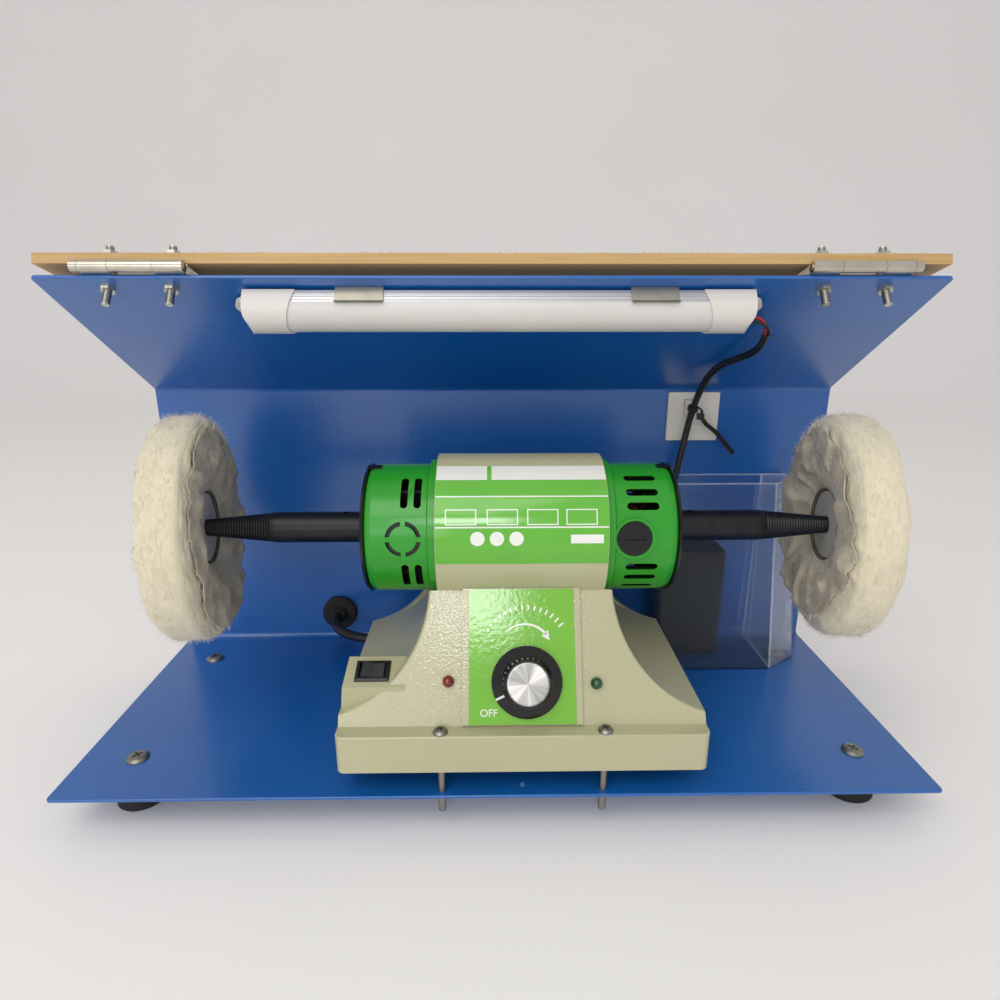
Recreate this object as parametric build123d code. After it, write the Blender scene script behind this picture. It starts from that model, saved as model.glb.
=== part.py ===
from build123d import *
import math
import os

os.makedirs("parts", exist_ok=True)

# Driving dimensions in millimetres: x to the right, y to the back, z up from the bench

# Hood: one bent sheet, plate edge in front, wall behind, flap leaning forward over the work
HOOD_WIDTH = 480.0
HOOD_DEPTH = 180.0
SHEET = 2.0
FOOT_HEIGHT = 24.0
BACK_HEIGHT = 194.0
FLAP_RUN = 110.0
FLAP_RISE = 70.0
BEND_RADIUS = 3.0
CORNER_ROUND = 2.5
EDGE_ROUND = 0.7
SPARE_HOLE_Y = -81.8
SPARE_HOLE_RADIUS = 1.6

# Rubber feet under the plate and the screws that hold them
FOOT_RADIUS = 14.0
FOOT_X = 208.0
FOOT_Y = 55.5
FOOT_MID_Y = -1.0
FOOT_SCREW_RADIUS = 2.4

# Lid board and its two hinges on the edge of the flap
LID_LENGTH = 108.0
LID_THICKNESS = 5.5
LID_SLOPE = 16.5
LID_SETBACK = 3.0
HINGE_X = (-187.0, 190.5)
HINGE_LENGTH = 53.0
HINGE_MIDDLE = 22.5
HINGE_BARREL = 3.1
HINGE_PIN = 1.5
HINGE_LEAF = 1.0
HINGE_OVERHANG = 2.6
HINGE_BOLT_X = 16.5
HINGE_BOLT_REACH = 10.0
M3_RADIUS = 1.5
M4_RADIUS = 1.95

# Lamp under the flap
LAMP_X = 2.0
LAMP_LENGTH = 272.0
LAMP_WIDTH = 24.0
LAMP_ALONG_FLAP = 110.0
LAMP_GAP = 1.5
LAMP_BASE = 7.0
LAMP_BULGE = 9.0
LAMP_CAP = 22.0
CLIP_X = (-72.5, 84.0)
CLIP_WIDTH = 25.5

# Lamp cable, tie, adapter and clear cover box on the right
CABLE_RADIUS = 2.25
LEAD_RADIUS = 0.9
ADAPTER_X = (118.0, 166.0)
ADAPTER_Y = (55.5, 83.0)
ADAPTER_HEIGHT = 81.5
COVER_HEIGHT = 132.0
COVER_WALL = 1.4
COVER_FOOT = [(112.0, 84.8), (112.0, 32.4), (195.5, 32.4), (220.4, 49.4), (221.5, 84.8)]
COVER_TOP = [(117.0, 84.8), (117.0, 57.0), (196.0, 57.0), (214.0, 69.0), (215.0, 84.8)]

# Polisher: middle of the machine, its shaft and its pedestal
MACHINE_X = 12.8
SHAFT_Y = -13.0
SHAFT_Z = 151.4
SLAB_WIDTH = 197.0
SLAB_FRONT = -89.5
SLAB_BACK = 35.0
SLAB_BOTTOM = 40.6
SLAB_TOP = 62.3
PANEL_FOOT_Y = -80.2
PANEL_TILT = 27.0
BOLT_X = 43.4
BOLT_FRONT_Y = -85.3
BOLT_BACK_Y = 23.5
FRONT_BOLT_RADIUS = 1.9
M5_RADIUS = 2.5

# Knob, indicator lamps and rocker switch
KNOB_S = 22.6
KNOB_X = 2.4
KNOB_RADIUS = 18.9
KNOB_GRIP_RADIUS = 13.0
KNOB_CAP_RADIUS = 11.2
RED_SPOT = (-39.7, 23.0)
GREEN_SPOT = (40.0, 21.4)
INDICATOR_RADIUS = 3.2
ROCKER_X = -68.4
ROCKER_Y = -62.55
ROCKER_Z = 84.7
ROCKER_SLOPE = 22.0
ROCKER_REST = 10.0

# Motor: tube, caps, and what turns inside, measured from the middle along the shaft
TUBE_RADIUS = 43.0
TUBE_WALL = 2.0
TUBE_HALF = 46.2
CAP_RADIUS = 37.0
CAP_BORE = 34.0
CAP_END = 85.2
CAP_VIEW_ANGLE = 8.0
RIM_WIDTH = 2.3
BEARING_SEAT = (74.0, 82.0)
BEARING_OUTER = 13.0
BEARING_BORE = 5.0
SHAFT_RADIUS = 6.0
STACK_HALF = 25.0
ARMATURE_RADIUS = 25.0
COMMUTATOR_RADIUS = 13.0
BRUSH_X = 60.6
LABEL_ANGLES = (68.5, -8.8)

# Spindles and buffs
SPINDLE_START = 89.0
SPINDLE_TAPER = 141.0
SPINDLE_NECK = 184.0
SPINDLE_TIP = 201.0
SPINDLE_RADIUS = 9.0
SPINDLE_NECK_RADIUS = 4.85
SPINDLE_TIP_RADIUS = 3.25
THREAD_PITCH = 1.6
THREAD_DEPTH = 0.45
BUFF_X = 190.0
BUFF_RADIUS = 65.0
BUFF_TOE = 8.0

# Mains cord: grommet in the back wall, stretch inside, free stretch, hank of two layers, plug
CORD_RADIUS = 3.4
GROMMET_X = -121.2
GROMMET_Z = 47.5
COIL_X = -58.0
COIL_Y = 151.5
COIL_RADIUS = 46.0
COIL_PITCH = 7.4
COIL_HALF_TURNS = 6
COIL_FLOOR = 3.6
COIL_LAYER = 7.4
COIL_CLIMB_INSET = 1.6
COIL_TAIL = 19.0
RUN_SHARE = 0.45
RUNNING_FIT = 0.05


def save(node, *shapes):
    """Write one node as a group of its separate solids."""
    solids = [solid for shape in shapes for solid in shape.solids()]
    export_step(Compound(solids), f"parts/{node}.step")


def prism(points, direction, length):
    """Straight solid from a flat closed outline."""
    return extrude(make_face(Polyline(*points, close=True)), length, dir=direction)


def turned_x(profile):
    """Turned solid about the X axis from (x, radius) points."""
    return revolve(make_face(Polyline(*[(x, 0, r) for x, r in profile], close=True)), Axis.X)


def turned_z(profile):
    """Turned solid about the Z axis from (radius, z) points."""
    return revolve(make_face(Polyline(*[(r, 0, z) for r, z in profile], close=True)), Axis.Z)


def rod_x(radius, start, end):
    """Round bar along X."""
    return Pos((start + end) / 2, 0, 0) * Rot(0, 90, 0) * Cylinder(radius, abs(end - start))


def tube_x(radius, bore, start, end):
    """Ring along X."""
    return rod_x(radius, start, end) - rod_x(bore, start - 1, end + 1)


def pipe_z(radius, bore, start, end):
    """Ring along Z."""
    middle = Pos(0, 0, (start + end) / 2)
    return middle * Cylinder(radius, end - start) - middle * Cylinder(bore, end - start + 2)


def post(radius, start, end):
    """Round bar along Z."""
    return Pos(0, 0, (start + end) / 2) * Cylinder(radius, end - start)


def hexagon(radius, start, end):
    """Hexagonal bar along Z."""
    return Pos(0, 0, start) * extrude(RegularPolygon(radius, 6), end - start)


def block(x, y, z):
    """Box between two limits on each axis."""
    middle = Pos(sum(x) / 2, sum(y) / 2, sum(z) / 2)
    return middle * Box(x[1] - x[0], y[1] - y[0], z[1] - z[0])


def sector(start, end, inner, outer, high, low):
    """Part of a ring along X between two angles, zero facing front, positive upward."""
    corners = [(start, 0, inner), (end, 0, inner), (end, 0, outer), (start, 0, outer)]
    face = make_face(Polyline(*corners, close=True))
    return Rot(90 - high, 0, 0) * revolve(face, Axis.X, high - low)


def radial(x, angle, radius):
    """Work plane on a round body along X, looking straight out from its axis."""
    out_y = -math.cos(math.radians(angle))
    out_z = math.sin(math.radians(angle))
    return Plane((x, radius * out_y, radius * out_z), x_dir=(1, 0, 0), z_dir=(0, out_y, out_z))


def edges_along_x(shape, y, z):
    """Edges along X that pass the given point."""
    near = 0.05
    return [edge for edge in shape.edges().filter_by(Axis.X)
            if abs(edge.center().Y - y) < near and abs(edge.center().Z - z) < near]


# Hood shell: plate, wall and flap bent from one sheet
plate_top = FOOT_HEIGHT + SHEET
front_y = -HOOD_DEPTH / 2
back_out = HOOD_DEPTH / 2
back_in = back_out - SHEET
bend_z = plate_top + BACK_HEIGHT
flap_angle = math.atan2(FLAP_RISE, FLAP_RUN)
flap_length = math.hypot(FLAP_RISE, FLAP_RUN)
flap_normal = (0, math.sin(flap_angle), math.cos(flap_angle))
flap = Plane((0, back_in, bend_z), x_dir=(1, 0, 0), z_dir=flap_normal)
tip_in = (back_in - FLAP_RUN, bend_z + FLAP_RISE)
tip_out = (tip_in[0] + SHEET * flap_normal[1], tip_in[1] + SHEET * flap_normal[2])
bend_out_z = bend_z + SHEET * (1 - flap_normal[1]) / flap_normal[2]
hood_outline = [
    (front_y, plate_top), (back_in, plate_top), (back_in, bend_z), tip_in,
    tip_out, (back_out, bend_out_z), (back_out, FOOT_HEIGHT), (front_y, FOOT_HEIGHT),
]
hood = prism([(-HOOD_WIDTH / 2, y, z) for y, z in hood_outline], (1, 0, 0), HOOD_WIDTH)
inner_bends = edges_along_x(hood, back_in, plate_top) + edges_along_x(hood, back_in, bend_z)
hood = fillet(inner_bends, BEND_RADIUS)
outer_bends = edges_along_x(hood, back_out, FOOT_HEIGHT) + edges_along_x(hood, back_out, bend_out_z)
hood = fillet(outer_bends, BEND_RADIUS + SHEET)
plate_corners = [edge for edge in hood.edges().filter_by(Axis.Z) if edge.center().Y < front_y + 1]
hood = fillet(plate_corners, CORNER_ROUND)
flap_corners = [edge for edge in hood.edges().filter_by(Axis(tuple(flap.origin), flap_normal))
                if edge.center().Z > tip_in[1] - 1]
hood = fillet(flap_corners, CORNER_ROUND)
sheet_edges = edges_along_x(hood, front_y, plate_top) + edges_along_x(hood, front_y, FOOT_HEIGHT)
sheet_edges += edges_along_x(hood, *tip_in) + edges_along_x(hood, *tip_out)
hood = fillet(sheet_edges, EDGE_ROUND)


def through_plate(radius):
    """Cutter for a round hole through the plate."""
    return post(radius, FOOT_HEIGHT - 1, plate_top + 1)


foot_spots = [(side * FOOT_X, FOOT_MID_Y + end * FOOT_Y) for side in (-1, 1) for end in (-1, 1)]
for x, y in foot_spots:
    hood -= Pos(x, y) * through_plate(FOOT_SCREW_RADIUS + 0.2)
bolt_sides = (MACHINE_X - BOLT_X, MACHINE_X + BOLT_X)
for x in bolt_sides:
    hood -= Pos(x, BOLT_FRONT_Y) * through_plate(FRONT_BOLT_RADIUS + 0.02)
    hood -= Pos(x, BOLT_BACK_Y) * through_plate(M5_RADIUS + 0.3)
hood -= Pos(MACHINE_X, SPARE_HOLE_Y) * through_plate(SPARE_HOLE_RADIUS)
grommet_axis = Pos(GROMMET_X, back_in, GROMMET_Z) * Rot(-90, 0, 0)
grommet_neck = 8.0
hood -= grommet_axis * post(grommet_neck + 0.1, -1, SHEET + 1)

# Hinge places on the flap: distance from the bend to the pin and to the flap bolts
hinge_s = flap_length + HINGE_OVERHANG
pin_rise = SHEET + HINGE_BARREL
flap_bolt_s = hinge_s - HINGE_BOLT_REACH
hinge_bolt_x = [x + side * HINGE_BOLT_X for x in HINGE_X for side in (-1, 1)]
for x in hinge_bolt_x:
    hood -= flap * Pos(x, -flap_bolt_s) * post(M4_RADIUS + 0.1, -1, SHEET + 1)
for x in CLIP_X:
    hood -= flap * Pos(x, -LAMP_ALONG_FLAP) * post(M3_RADIUS + 0.1, -1, SHEET + 1)
save("hood_shell", hood)

# Feet with a blind screw hole, flat low headed screws with a cross recess; one also holds the bin's floor
foot_hole = 14.0
head_radius = 6.2
head_height = 2.2
cross_recess = (6.0, 1.2, 2.4)
bin_screw = (FOOT_X, FOOT_MID_Y + FOOT_Y)
feet = []
foot_screws = []
for x, y in foot_spots:
    foot = turned_z([(0, 0), (FOOT_RADIUS - 1, 0), (FOOT_RADIUS, 1), (FOOT_RADIUS - 1, FOOT_HEIGHT),
                     (0, FOOT_HEIGHT)])
    feet.append(Pos(x, y) * (foot - post(FOOT_SCREW_RADIUS, FOOT_HEIGHT - foot_hole, FOOT_HEIGHT + 1)))
    screw_end = FOOT_HEIGHT - foot_hole + 1
    head_top = plate_top + head_height
    screw = turned_z([
        (0, screw_end), (FOOT_SCREW_RADIUS, screw_end), (FOOT_SCREW_RADIUS, plate_top),
        (head_radius, plate_top), (head_radius, plate_top + 0.6), (head_radius - 1.5, head_top - 0.4),
        (head_radius - 3, head_top), (0, head_top)])
    for turn in (45, 135):
        screw -= Pos(0, 0, head_top) * Rot(0, 0, turn) * Box(*cross_recess)
    lift = COVER_WALL if (x, y) == bin_screw else 0
    foot_screws.append(Pos(x, y, lift) * screw)
save("hood_feet", *feet)
save("foot_screws", *foot_screws)

# Hinges: fixed leaf with two end knuckles, lid leaf with the middle knuckle, pin, bolts and nuts
hinge_axis = flap.from_local_coords((0, -hinge_s, pin_rise))
slope = math.radians(LID_SLOPE)
lid = Plane(hinge_axis, x_dir=(1, 0, 0), z_dir=(0, math.sin(slope), math.cos(slope)))
leaf_width = 17.0
knuckle_gap = 0.2
pin_head = 4.0
pin_overhang = 0.5
leaf_low = 1.6
bolt_head = 2.5
head_r = 3.5
nut_r = 3.9
nut_height = 3.0
board_low = leaf_low + HINGE_LEAF
board_top = board_low + LID_THICKNESS
half = HINGE_LENGTH / 2
middle_half = HINGE_MIDDLE / 2
clear = HINGE_BARREL + 0.6
fixed_leaves = []
lid_leaves = []
pins = []
for x in HINGE_X:
    pin_line = flap * Pos(x, -hinge_s, pin_rise)
    plate = flap * block((x - half, x + half), (-hinge_s, -hinge_s + leaf_width), (SHEET, SHEET + HINGE_LEAF))
    plate -= flap * block((x - middle_half - knuckle_gap, x + middle_half + knuckle_gap),
                          (-hinge_s - 1, -hinge_s + clear), (SHEET - 1, SHEET + HINGE_LEAF + 1))
    for start, end in ((-half, -middle_half - knuckle_gap), (middle_half + knuckle_gap, half)):
        plate += pin_line * tube_x(HINGE_BARREL, HINGE_PIN + 0.02, start, end)
        plate -= pin_line * rod_x(HINGE_PIN + 0.02, start, end)
    for side in (-1, 1):
        plate -= flap * Pos(x + side * HINGE_BOLT_X, -flap_bolt_s) * post(M4_RADIUS + 0.1, 0, 2 * SHEET)
    fixed_leaves.append(plate)

    wing = lid * block((x - half, x + half), (HINGE_PIN + 0.5, leaf_width), (leaf_low, board_low))
    for start, end in ((-half - 1, -middle_half), (middle_half, half + 1)):
        wing -= lid * block((x + start, x + end), (-1, clear), (leaf_low - 1, board_low + 1))
    wing += lid * Pos(x) * tube_x(HINGE_BARREL, HINGE_PIN + RUNNING_FIT, -middle_half, middle_half)
    wing -= lid * Pos(x) * rod_x(HINGE_PIN + RUNNING_FIT, -middle_half - 1, middle_half + 1)
    for side in (-1, 1):
        at_bolt = lid * Pos(x + side * HINGE_BOLT_X, HINGE_BOLT_REACH)
        wing -= at_bolt * post(M4_RADIUS + 0.1, -3, board_low + 1)
    lid_leaves.append(wing)
    outer = math.copysign(half + knuckle_gap, x)
    inner = -math.copysign(half + pin_overhang, x)
    head_end = outer + math.copysign(pin_head, x)
    pins.append(pin_line * (rod_x(HINGE_PIN, inner, outer) + rod_x(HINGE_BARREL, outer, head_end)))
save("hinge_fixed_leaves", *fixed_leaves)
save("hinge_lid_leaves", *lid_leaves)
save("hinge_pins", *pins)

flap_bolts = []
lid_bolts = []
flap_bolt_end = -11.0
for x in hinge_bolt_x:
    at_flap = flap * Pos(x, -flap_bolt_s)
    seat = SHEET + HINGE_LEAF
    flap_bolts.append(at_flap * (post(head_r, seat, seat + bolt_head) + post(M4_RADIUS, flap_bolt_end, seat)))
    nut = hexagon(nut_r, -nut_height, 0) - post(M4_RADIUS + 0.02, -nut_height - 1, 1)
    flap_bolts.append(at_flap * nut)
    at_lid = lid * Pos(x, HINGE_BOLT_REACH)
    lid_bolt_end = board_top + nut_height + 3.0
    shank = post(M4_RADIUS, leaf_low, lid_bolt_end)
    lid_bolts.append(at_lid * (post(head_r, leaf_low - bolt_head, leaf_low) + shank))
    nut = hexagon(nut_r, board_top, board_top + nut_height)
    lid_bolts.append(at_lid * (nut - post(M4_RADIUS + 0.02, board_top - 1, lid_bolt_end)))
save("hinge_flap_bolts", *flap_bolts)
save("hinge_lid_bolts", *lid_bolts)

# Lid board, folded back over the flap
board = lid * block((-HOOD_WIDTH / 2, HOOD_WIDTH / 2), (LID_SETBACK, LID_SETBACK + LID_LENGTH),
                    (board_low, board_top))
for x in hinge_bolt_x:
    board -= lid * Pos(x, HINGE_BOLT_REACH) * post(M4_RADIUS + 0.1, 0, board_top + 1)
save("lid_board", board)


# Lamp under the flap: outlines run along the flap (s) and below it (b)
def lamp_prism(outline, start, end):
    """Length of lamp section between two places along X."""
    corners = [flap.from_local_coords((start, -s, -b)) for s, b in outline]
    return prism(corners, (1, 0, 0), end - start)


lamp_start = LAMP_X - LAMP_LENGTH / 2
lamp_end = LAMP_X + LAMP_LENGTH / 2
body_start = lamp_start + LAMP_CAP
body_end = lamp_end - LAMP_CAP
lamp_low = LAMP_ALONG_FLAP - LAMP_WIDTH / 2
lamp_high = LAMP_ALONG_FLAP + LAMP_WIDTH / 2
base_wall = 1.5
lamp_floor = LAMP_GAP + LAMP_BASE
housing = lamp_prism([
    (lamp_low, LAMP_GAP), (lamp_high, LAMP_GAP), (lamp_high, lamp_floor),
    (lamp_high - base_wall, lamp_floor), (lamp_high - base_wall, LAMP_GAP + base_wall),
    (lamp_low + base_wall, LAMP_GAP + base_wall), (lamp_low + base_wall, lamp_floor),
    (lamp_low, lamp_floor)], body_start, body_end)
rib_depth = 0.5
rib_marks = (2.0, 4.0, 6.0)
for mark in rib_marks:
    for edge in (lamp_low, lamp_high):
        groove = [(edge - rib_depth, LAMP_GAP + mark - 0.4), (edge + rib_depth, LAMP_GAP + mark - 0.4),
                  (edge + rib_depth, LAMP_GAP + mark + 0.4), (edge - rib_depth, LAMP_GAP + mark + 0.4)]
        housing -= lamp_prism(groove, body_start - 1, body_end + 1)
save("lamp_housing", housing)

bulge_radius = (LAMP_WIDTH ** 2 / 4 + LAMP_BULGE ** 2) / (2 * LAMP_BULGE)
bulge_middle = lamp_floor + LAMP_BULGE - bulge_radius
lamp_line = flap * Pos(0, -LAMP_ALONG_FLAP, -bulge_middle)
diffuser_wall = 1.5
half_space = flap * block((lamp_start, lamp_end), (-lamp_high - 9, -lamp_low + 9), (-40, -lamp_floor - 0.05))
diffuser = lamp_line * tube_x(bulge_radius - 0.1, bulge_radius - diffuser_wall, body_start, body_end)
save("lamp_diffuser", diffuser & half_space)

strip_width = 10.0
strip_low = LAMP_GAP + base_wall
chip_step = 16.0
strip = flap * block((body_start + 3, body_end - 3),
                     (-LAMP_ALONG_FLAP - strip_width / 2, -LAMP_ALONG_FLAP + strip_width / 2),
                     (-strip_low - 1.2, -strip_low))
chip_count = int((body_end - body_start - 20) / chip_step)
for index in range(chip_count):
    chip_x = LAMP_X + (index - (chip_count - 1) / 2) * chip_step
    strip += flap * Pos(chip_x, -LAMP_ALONG_FLAP, -strip_low - 1.5) * Box(5, 5, 1.2)
save("lamp_led_strip", strip)

# End caps: a plug at each end with a thin sleeve over the body, its edge cut on a slant, and a round ear
cap_over = 0.8
cap_slide = 0.05
cap_reach = 6.0
cap_round = 5.0
ear_radius = 6.0
ear_reach = 1.5
ear_thick = 3.0
ear_hole = 1.7
lamp_deep = lamp_floor + LAMP_BULGE + cap_over + 0.1
lamp_side = Plane(flap.origin, x_dir=(1, 0, 0), z_dir=flap.y_dir)


def lamp_outline(over, start, end):
    """Length of the lamp's full outline, made larger all round by a little."""
    low = lamp_low - over
    high = lamp_high + over
    deepest = (LAMP_ALONG_FLAP, lamp_floor + LAMP_BULGE + over)
    marks = [(low, lamp_floor), (low, LAMP_GAP), (high, LAMP_GAP), (high, lamp_floor), deepest]
    spots = [flap.from_local_coords((start, -s, -b)) for s, b in marks]
    bulge = ThreePointArc(spots[3], spots[4], spots[0])
    return extrude(make_face([*Polyline(*spots[:4]).edges(), *bulge.edges()]), end - start, dir=(1, 0, 0))


cap_bar = lamp_outline(cap_over, lamp_start, lamp_end)
body_space = lamp_outline(cap_slide, body_start, body_end)
end_caps = []
for outer, inner, out in ((lamp_start, body_start, -1), (lamp_end, body_end, 1)):
    slant = [(outer, 0), (inner - out * cap_reach, 0), (inner, lamp_deep), (outer, lamp_deep)]
    field = make_face(Polyline(*slant, close=True))
    field = fillet(field.vertices().sort_by_distance((outer, lamp_deep, 0))[0], cap_round)
    cap = cap_bar & (lamp_side * extrude(field, 2 * lamp_high, dir=(0, 0, -1)))
    cap -= body_space
    ear_low = -LAMP_GAP - ear_thick
    cap += flap * Pos(outer + out * ear_reach, -LAMP_ALONG_FLAP) * post(ear_radius, ear_low, -LAMP_GAP)
    cap -= flap * Pos(outer + 2 * out * ear_reach, -LAMP_ALONG_FLAP) * post(ear_hole, ear_low - 1, 0)
    end_caps.append(cap)
save("lamp_end_caps", *end_caps)

# Spring clips around the lamp housing with flared lips, and the screws that hold them from above
clip_sheet = 1.0
clip_gap = 0.15
clip_top = 0.2
leg_depth = 8.4
lip_out = 1.3
lip_depth = 9.8
clips = []
clip_screws = []
for x in CLIP_X:
    low = lamp_low - clip_gap
    high = lamp_high + clip_gap
    clips.append(lamp_prism([
        (low - clip_sheet, clip_top), (high + clip_sheet, clip_top), (high + clip_sheet, leg_depth),
        (high + clip_sheet + lip_out, lip_depth), (high + lip_out, lip_depth), (high, leg_depth),
        (high, clip_top + clip_sheet), (low, clip_top + clip_sheet), (low, leg_depth),
        (low - lip_out, lip_depth), (low - clip_sheet - lip_out, lip_depth), (low - clip_sheet, leg_depth)],
        x - CLIP_WIDTH / 2, x + CLIP_WIDTH / 2))
    clips[-1] -= flap * Pos(x, -LAMP_ALONG_FLAP) * post(M3_RADIUS + 0.02, -3, 0)
    screw = post(2 * M3_RADIUS, SHEET, SHEET + 2.0) + post(M3_RADIUS, -clip_sheet - clip_top, SHEET)
    clip_screws.append(flap * Pos(x, -LAMP_ALONG_FLAP) * screw)
save("lamp_clips", *clips)
save("lamp_clip_screws", *clip_screws)


# Cords and cables are straight runs joined by arcs that touch both runs
def bent_path(name, points, radius):
    """Path through hand-placed points; prints its length, bends and limits."""
    runs = [Vector(*b) - Vector(*a) for a, b in zip(points, points[1:])]
    bends = []
    for before, after in zip(runs, runs[1:]):
        turn = math.radians(before.get_angle(after))
        bends.append(RUN_SHARE * min(before.length, after.length) / math.tan(turn / 2))
    path = FilletPolyline(*points, radius=bends)
    listed = " ".join(f"{bend:.0f}" for bend in bends)
    print(f"{name}: length {path.length:.0f}, bend radii {listed}, diameter {2 * radius:.1f}")
    return path


def tube_along(name, path, radius):
    """Round tube swept along a path; prints its volume against section times length."""
    tube = sweep(Plane(path @ 0, z_dir=path % 0) * Circle(radius), path=path)
    share = tube.volume / (math.pi * radius ** 2 * path.length)
    print(f"{name}: volume over section times length {share:.4f}")
    return tube


# Lamp cable: two leads leave the right cap and enter the sleeve, which goes down to the adapter
lead_spots = (9.0, 12.5)
lead_exit = [flap.from_local_coords((lamp_end, -LAMP_ALONG_FLAP + 1.5, -b)) for b in lead_spots]
sleeve_route = [
    (154.1, 3, 261), (157, 13, 255.8), (157.2, 25, 249.2), (152.4, 38, 244.5), (146.7, 50, 240),
    (142.3, 60, 232.5), (140.2, 69, 221), (138, 75, 208), (136.2, 77.5, 194), (134, 78, 180),
    (131.3, 77.3, 165.5), (127.8, 75.6, 146), (124, 74, 127), (124, 74, plate_top + ADAPTER_HEIGHT)]
sleeve_path = bent_path("lamp cable", sleeve_route, CABLE_RADIUS)
sleeve = tube_along("lamp cable", sleeve_path, CABLE_RADIUS)
leads = []
for index, spot in enumerate(lead_exit):
    side = -1.1 if index == 0 else 1.1
    lead_route = [
        tuple(spot), (spot.X + 6, spot.Y, spot.Z), (152.0 + side, -5.5, 264.8 - index * 1.2),
        (154.1 + side, 3, 261)]
    name = "red lead" if index == 0 else "black lead"
    leads.append(tube_along(name, bent_path(name, lead_route, LEAD_RADIUS), LEAD_RADIUS))
save("lamp_cable", sleeve, *leads)

# White tie mount on the wall and the tie around the cable, with a slack loop and its loose tail
mount_x = (123.3, 159.8)
mount_z = (183.0, 217.5)
mount_plate = 3.0
tie_share = 0.486
tie_at = sleeve_path @ tie_share
tie_ring = 3.7
bridge_width = 4.0
bridge_height = 5.0
bridge_y = tie_at.Y + tie_ring + 0.3
bridge = block((tie_at.X - bridge_width, tie_at.X + bridge_width), (bridge_y, back_in - mount_plate + 0.5),
               (tie_at.Z - bridge_height, tie_at.Z + bridge_height))
bridge -= block((tie_at.X - 9, tie_at.X + 9), (bridge_y + 2, back_in - mount_plate),
                (tie_at.Z - 2.2, tie_at.Z + 2.2))
plate = block(mount_x, (back_in - mount_plate, back_in), mount_z)
plate = fillet(plate.edges().filter_by(Axis.Y), 1.0)
save("tie_mount", plate + bridge)

strap_width = 3.0
strap_thick = 1.1
tie_axis = Plane(tie_at, z_dir=sleeve_path % tie_share)
tie = tie_axis * pipe_z(tie_ring, CABLE_RADIUS + 0.2, -strap_width / 2, strap_width / 2)
tie_head = tie_at + Vector(5.4, -1.0, -5.5)
tie += Pos(*tie_head) * Box(4.2, 4.2, 4.2)
loop_start = tie_at + Vector(3.0, -1.0, 1.0)
loop_turn = tie_at + Vector(6.6, -1.0, -1.5)
loop_path = FilletPolyline(loop_start, loop_turn, tie_head, radius=2.5)
loop_end = Plane(loop_path @ 0, x_dir=(0, 1, 0), z_dir=loop_path % 0)
tie += sweep(loop_end * Rectangle(strap_width, strap_thick), path=loop_path)
tail_path = FilletPolyline(
    tie_head, tie_head + Vector(4.2, 0.3, -5.3), tie_head + Vector(12.3, 1, -11.5),
    tie_head + Vector(26.4, 2, -27), radius=[6, 16])
tail_end = Plane(tail_path @ 0, x_dir=(0, 1, 0), z_dir=tail_path % 0)
tie += sweep(tail_end * Rectangle(strap_thick, strap_width), path=tail_path)
save("cable_tie", tie)

# Lamp adapter on the floor of its clear bin, with an inlet socket at its side
adapter_low = plate_top + COVER_WALL + 0.05
adapter = block(ADAPTER_X, ADAPTER_Y, (adapter_low, plate_top + ADAPTER_HEIGHT))
adapter = fillet(adapter.edges().filter_by(Axis.Z), 4.0)
adapter = fillet(adapter.faces().sort_by(Axis.Z)[-1].edges(), 2.0)
inlet_z = plate_top + 16
adapter -= block((ADAPTER_X[0] - 1, ADAPTER_X[0] + 9), (66, 80), (inlet_z - 5, inlet_z + 5))
for y in (69.5, 76.5):
    pin = Pos(ADAPTER_X[0] + 6, y, inlet_z) * Rot(0, 90, 0) * Cylinder(1.2, 8)
    adapter += pin
save("adapter", adapter)


# Clear bin: drafted tub with a floor, open above, standing on the plate around the adapter
def tub_outline(points, z, inset, corner):
    """Rounded outline of the tub at one height."""
    face = make_face(Polyline(*[(x, y, 0) for x, y in points], close=True))
    if inset:
        face = offset(face, amount=inset, kind=Kind.INTERSECTION)
    return Pos(0, 0, z) * fillet(face.vertices(), corner)


tub_corner = 4.0
tub_edge = 1.2
cover_top = plate_top + COVER_HEIGHT
tub = loft([tub_outline(COVER_FOOT, plate_top, 0, tub_corner),
            tub_outline(COVER_TOP, cover_top, 0, tub_corner)], ruled=True)
tub = fillet(tub.faces().sort_by(Axis.Z)[0].edges(), tub_edge)
hollow = loft([tub_outline(COVER_FOOT, plate_top + COVER_WALL, -COVER_WALL, tub_corner - COVER_WALL),
               tub_outline(COVER_TOP, cover_top + 0.01, -COVER_WALL, tub_corner - COVER_WALL)],
              ruled=True)
screw_hole = Pos(*bin_screw) * post(FOOT_SCREW_RADIUS + 0.2, plate_top - 1, plate_top + COVER_WALL + 1)
save("clear_box", tub - hollow - screw_hole)

# Pedestal: slab, flared body with side scoops, saddle for the motor, switch box, hollow below
tilt = math.radians(PANEL_TILT)
panel = Plane((MACHINE_X, PANEL_FOOT_Y, SLAB_TOP), x_dir=(1, 0, 0),
              z_dir=(0, -math.cos(tilt), math.sin(tilt)))


def panel_y(z):
    """Depth of the tilted front face at one height."""
    return PANEL_FOOT_Y + (z - SLAB_TOP) * math.tan(tilt)


def flare(low, middle, high, top):
    """Front outline of the body, both sides curving in; each mark is (half width, height)."""
    wide, foot_z = low
    right = ThreePointArc((wide, 0, foot_z), (middle[0], 0, middle[1]), (high[0], 0, high[1]))
    left = ThreePointArc((-high[0], 0, high[1]), (-middle[0], 0, middle[1]), (-wide, 0, foot_z))
    over = Polyline((high[0], 0, high[1]), (high[0], 0, top), (-high[0], 0, top), (-high[0], 0, high[1]))
    under = Polyline((-wide, 0, foot_z), (-wide, 0, SLAB_TOP - 2), (wide, 0, SLAB_TOP - 2), (wide, 0, foot_z))
    face = make_face([*right.edges(), *over.edges(), *left.edges(), *under.edges()])
    return Pos(MACHINE_X) * extrude(face, 200, both=True)


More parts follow.
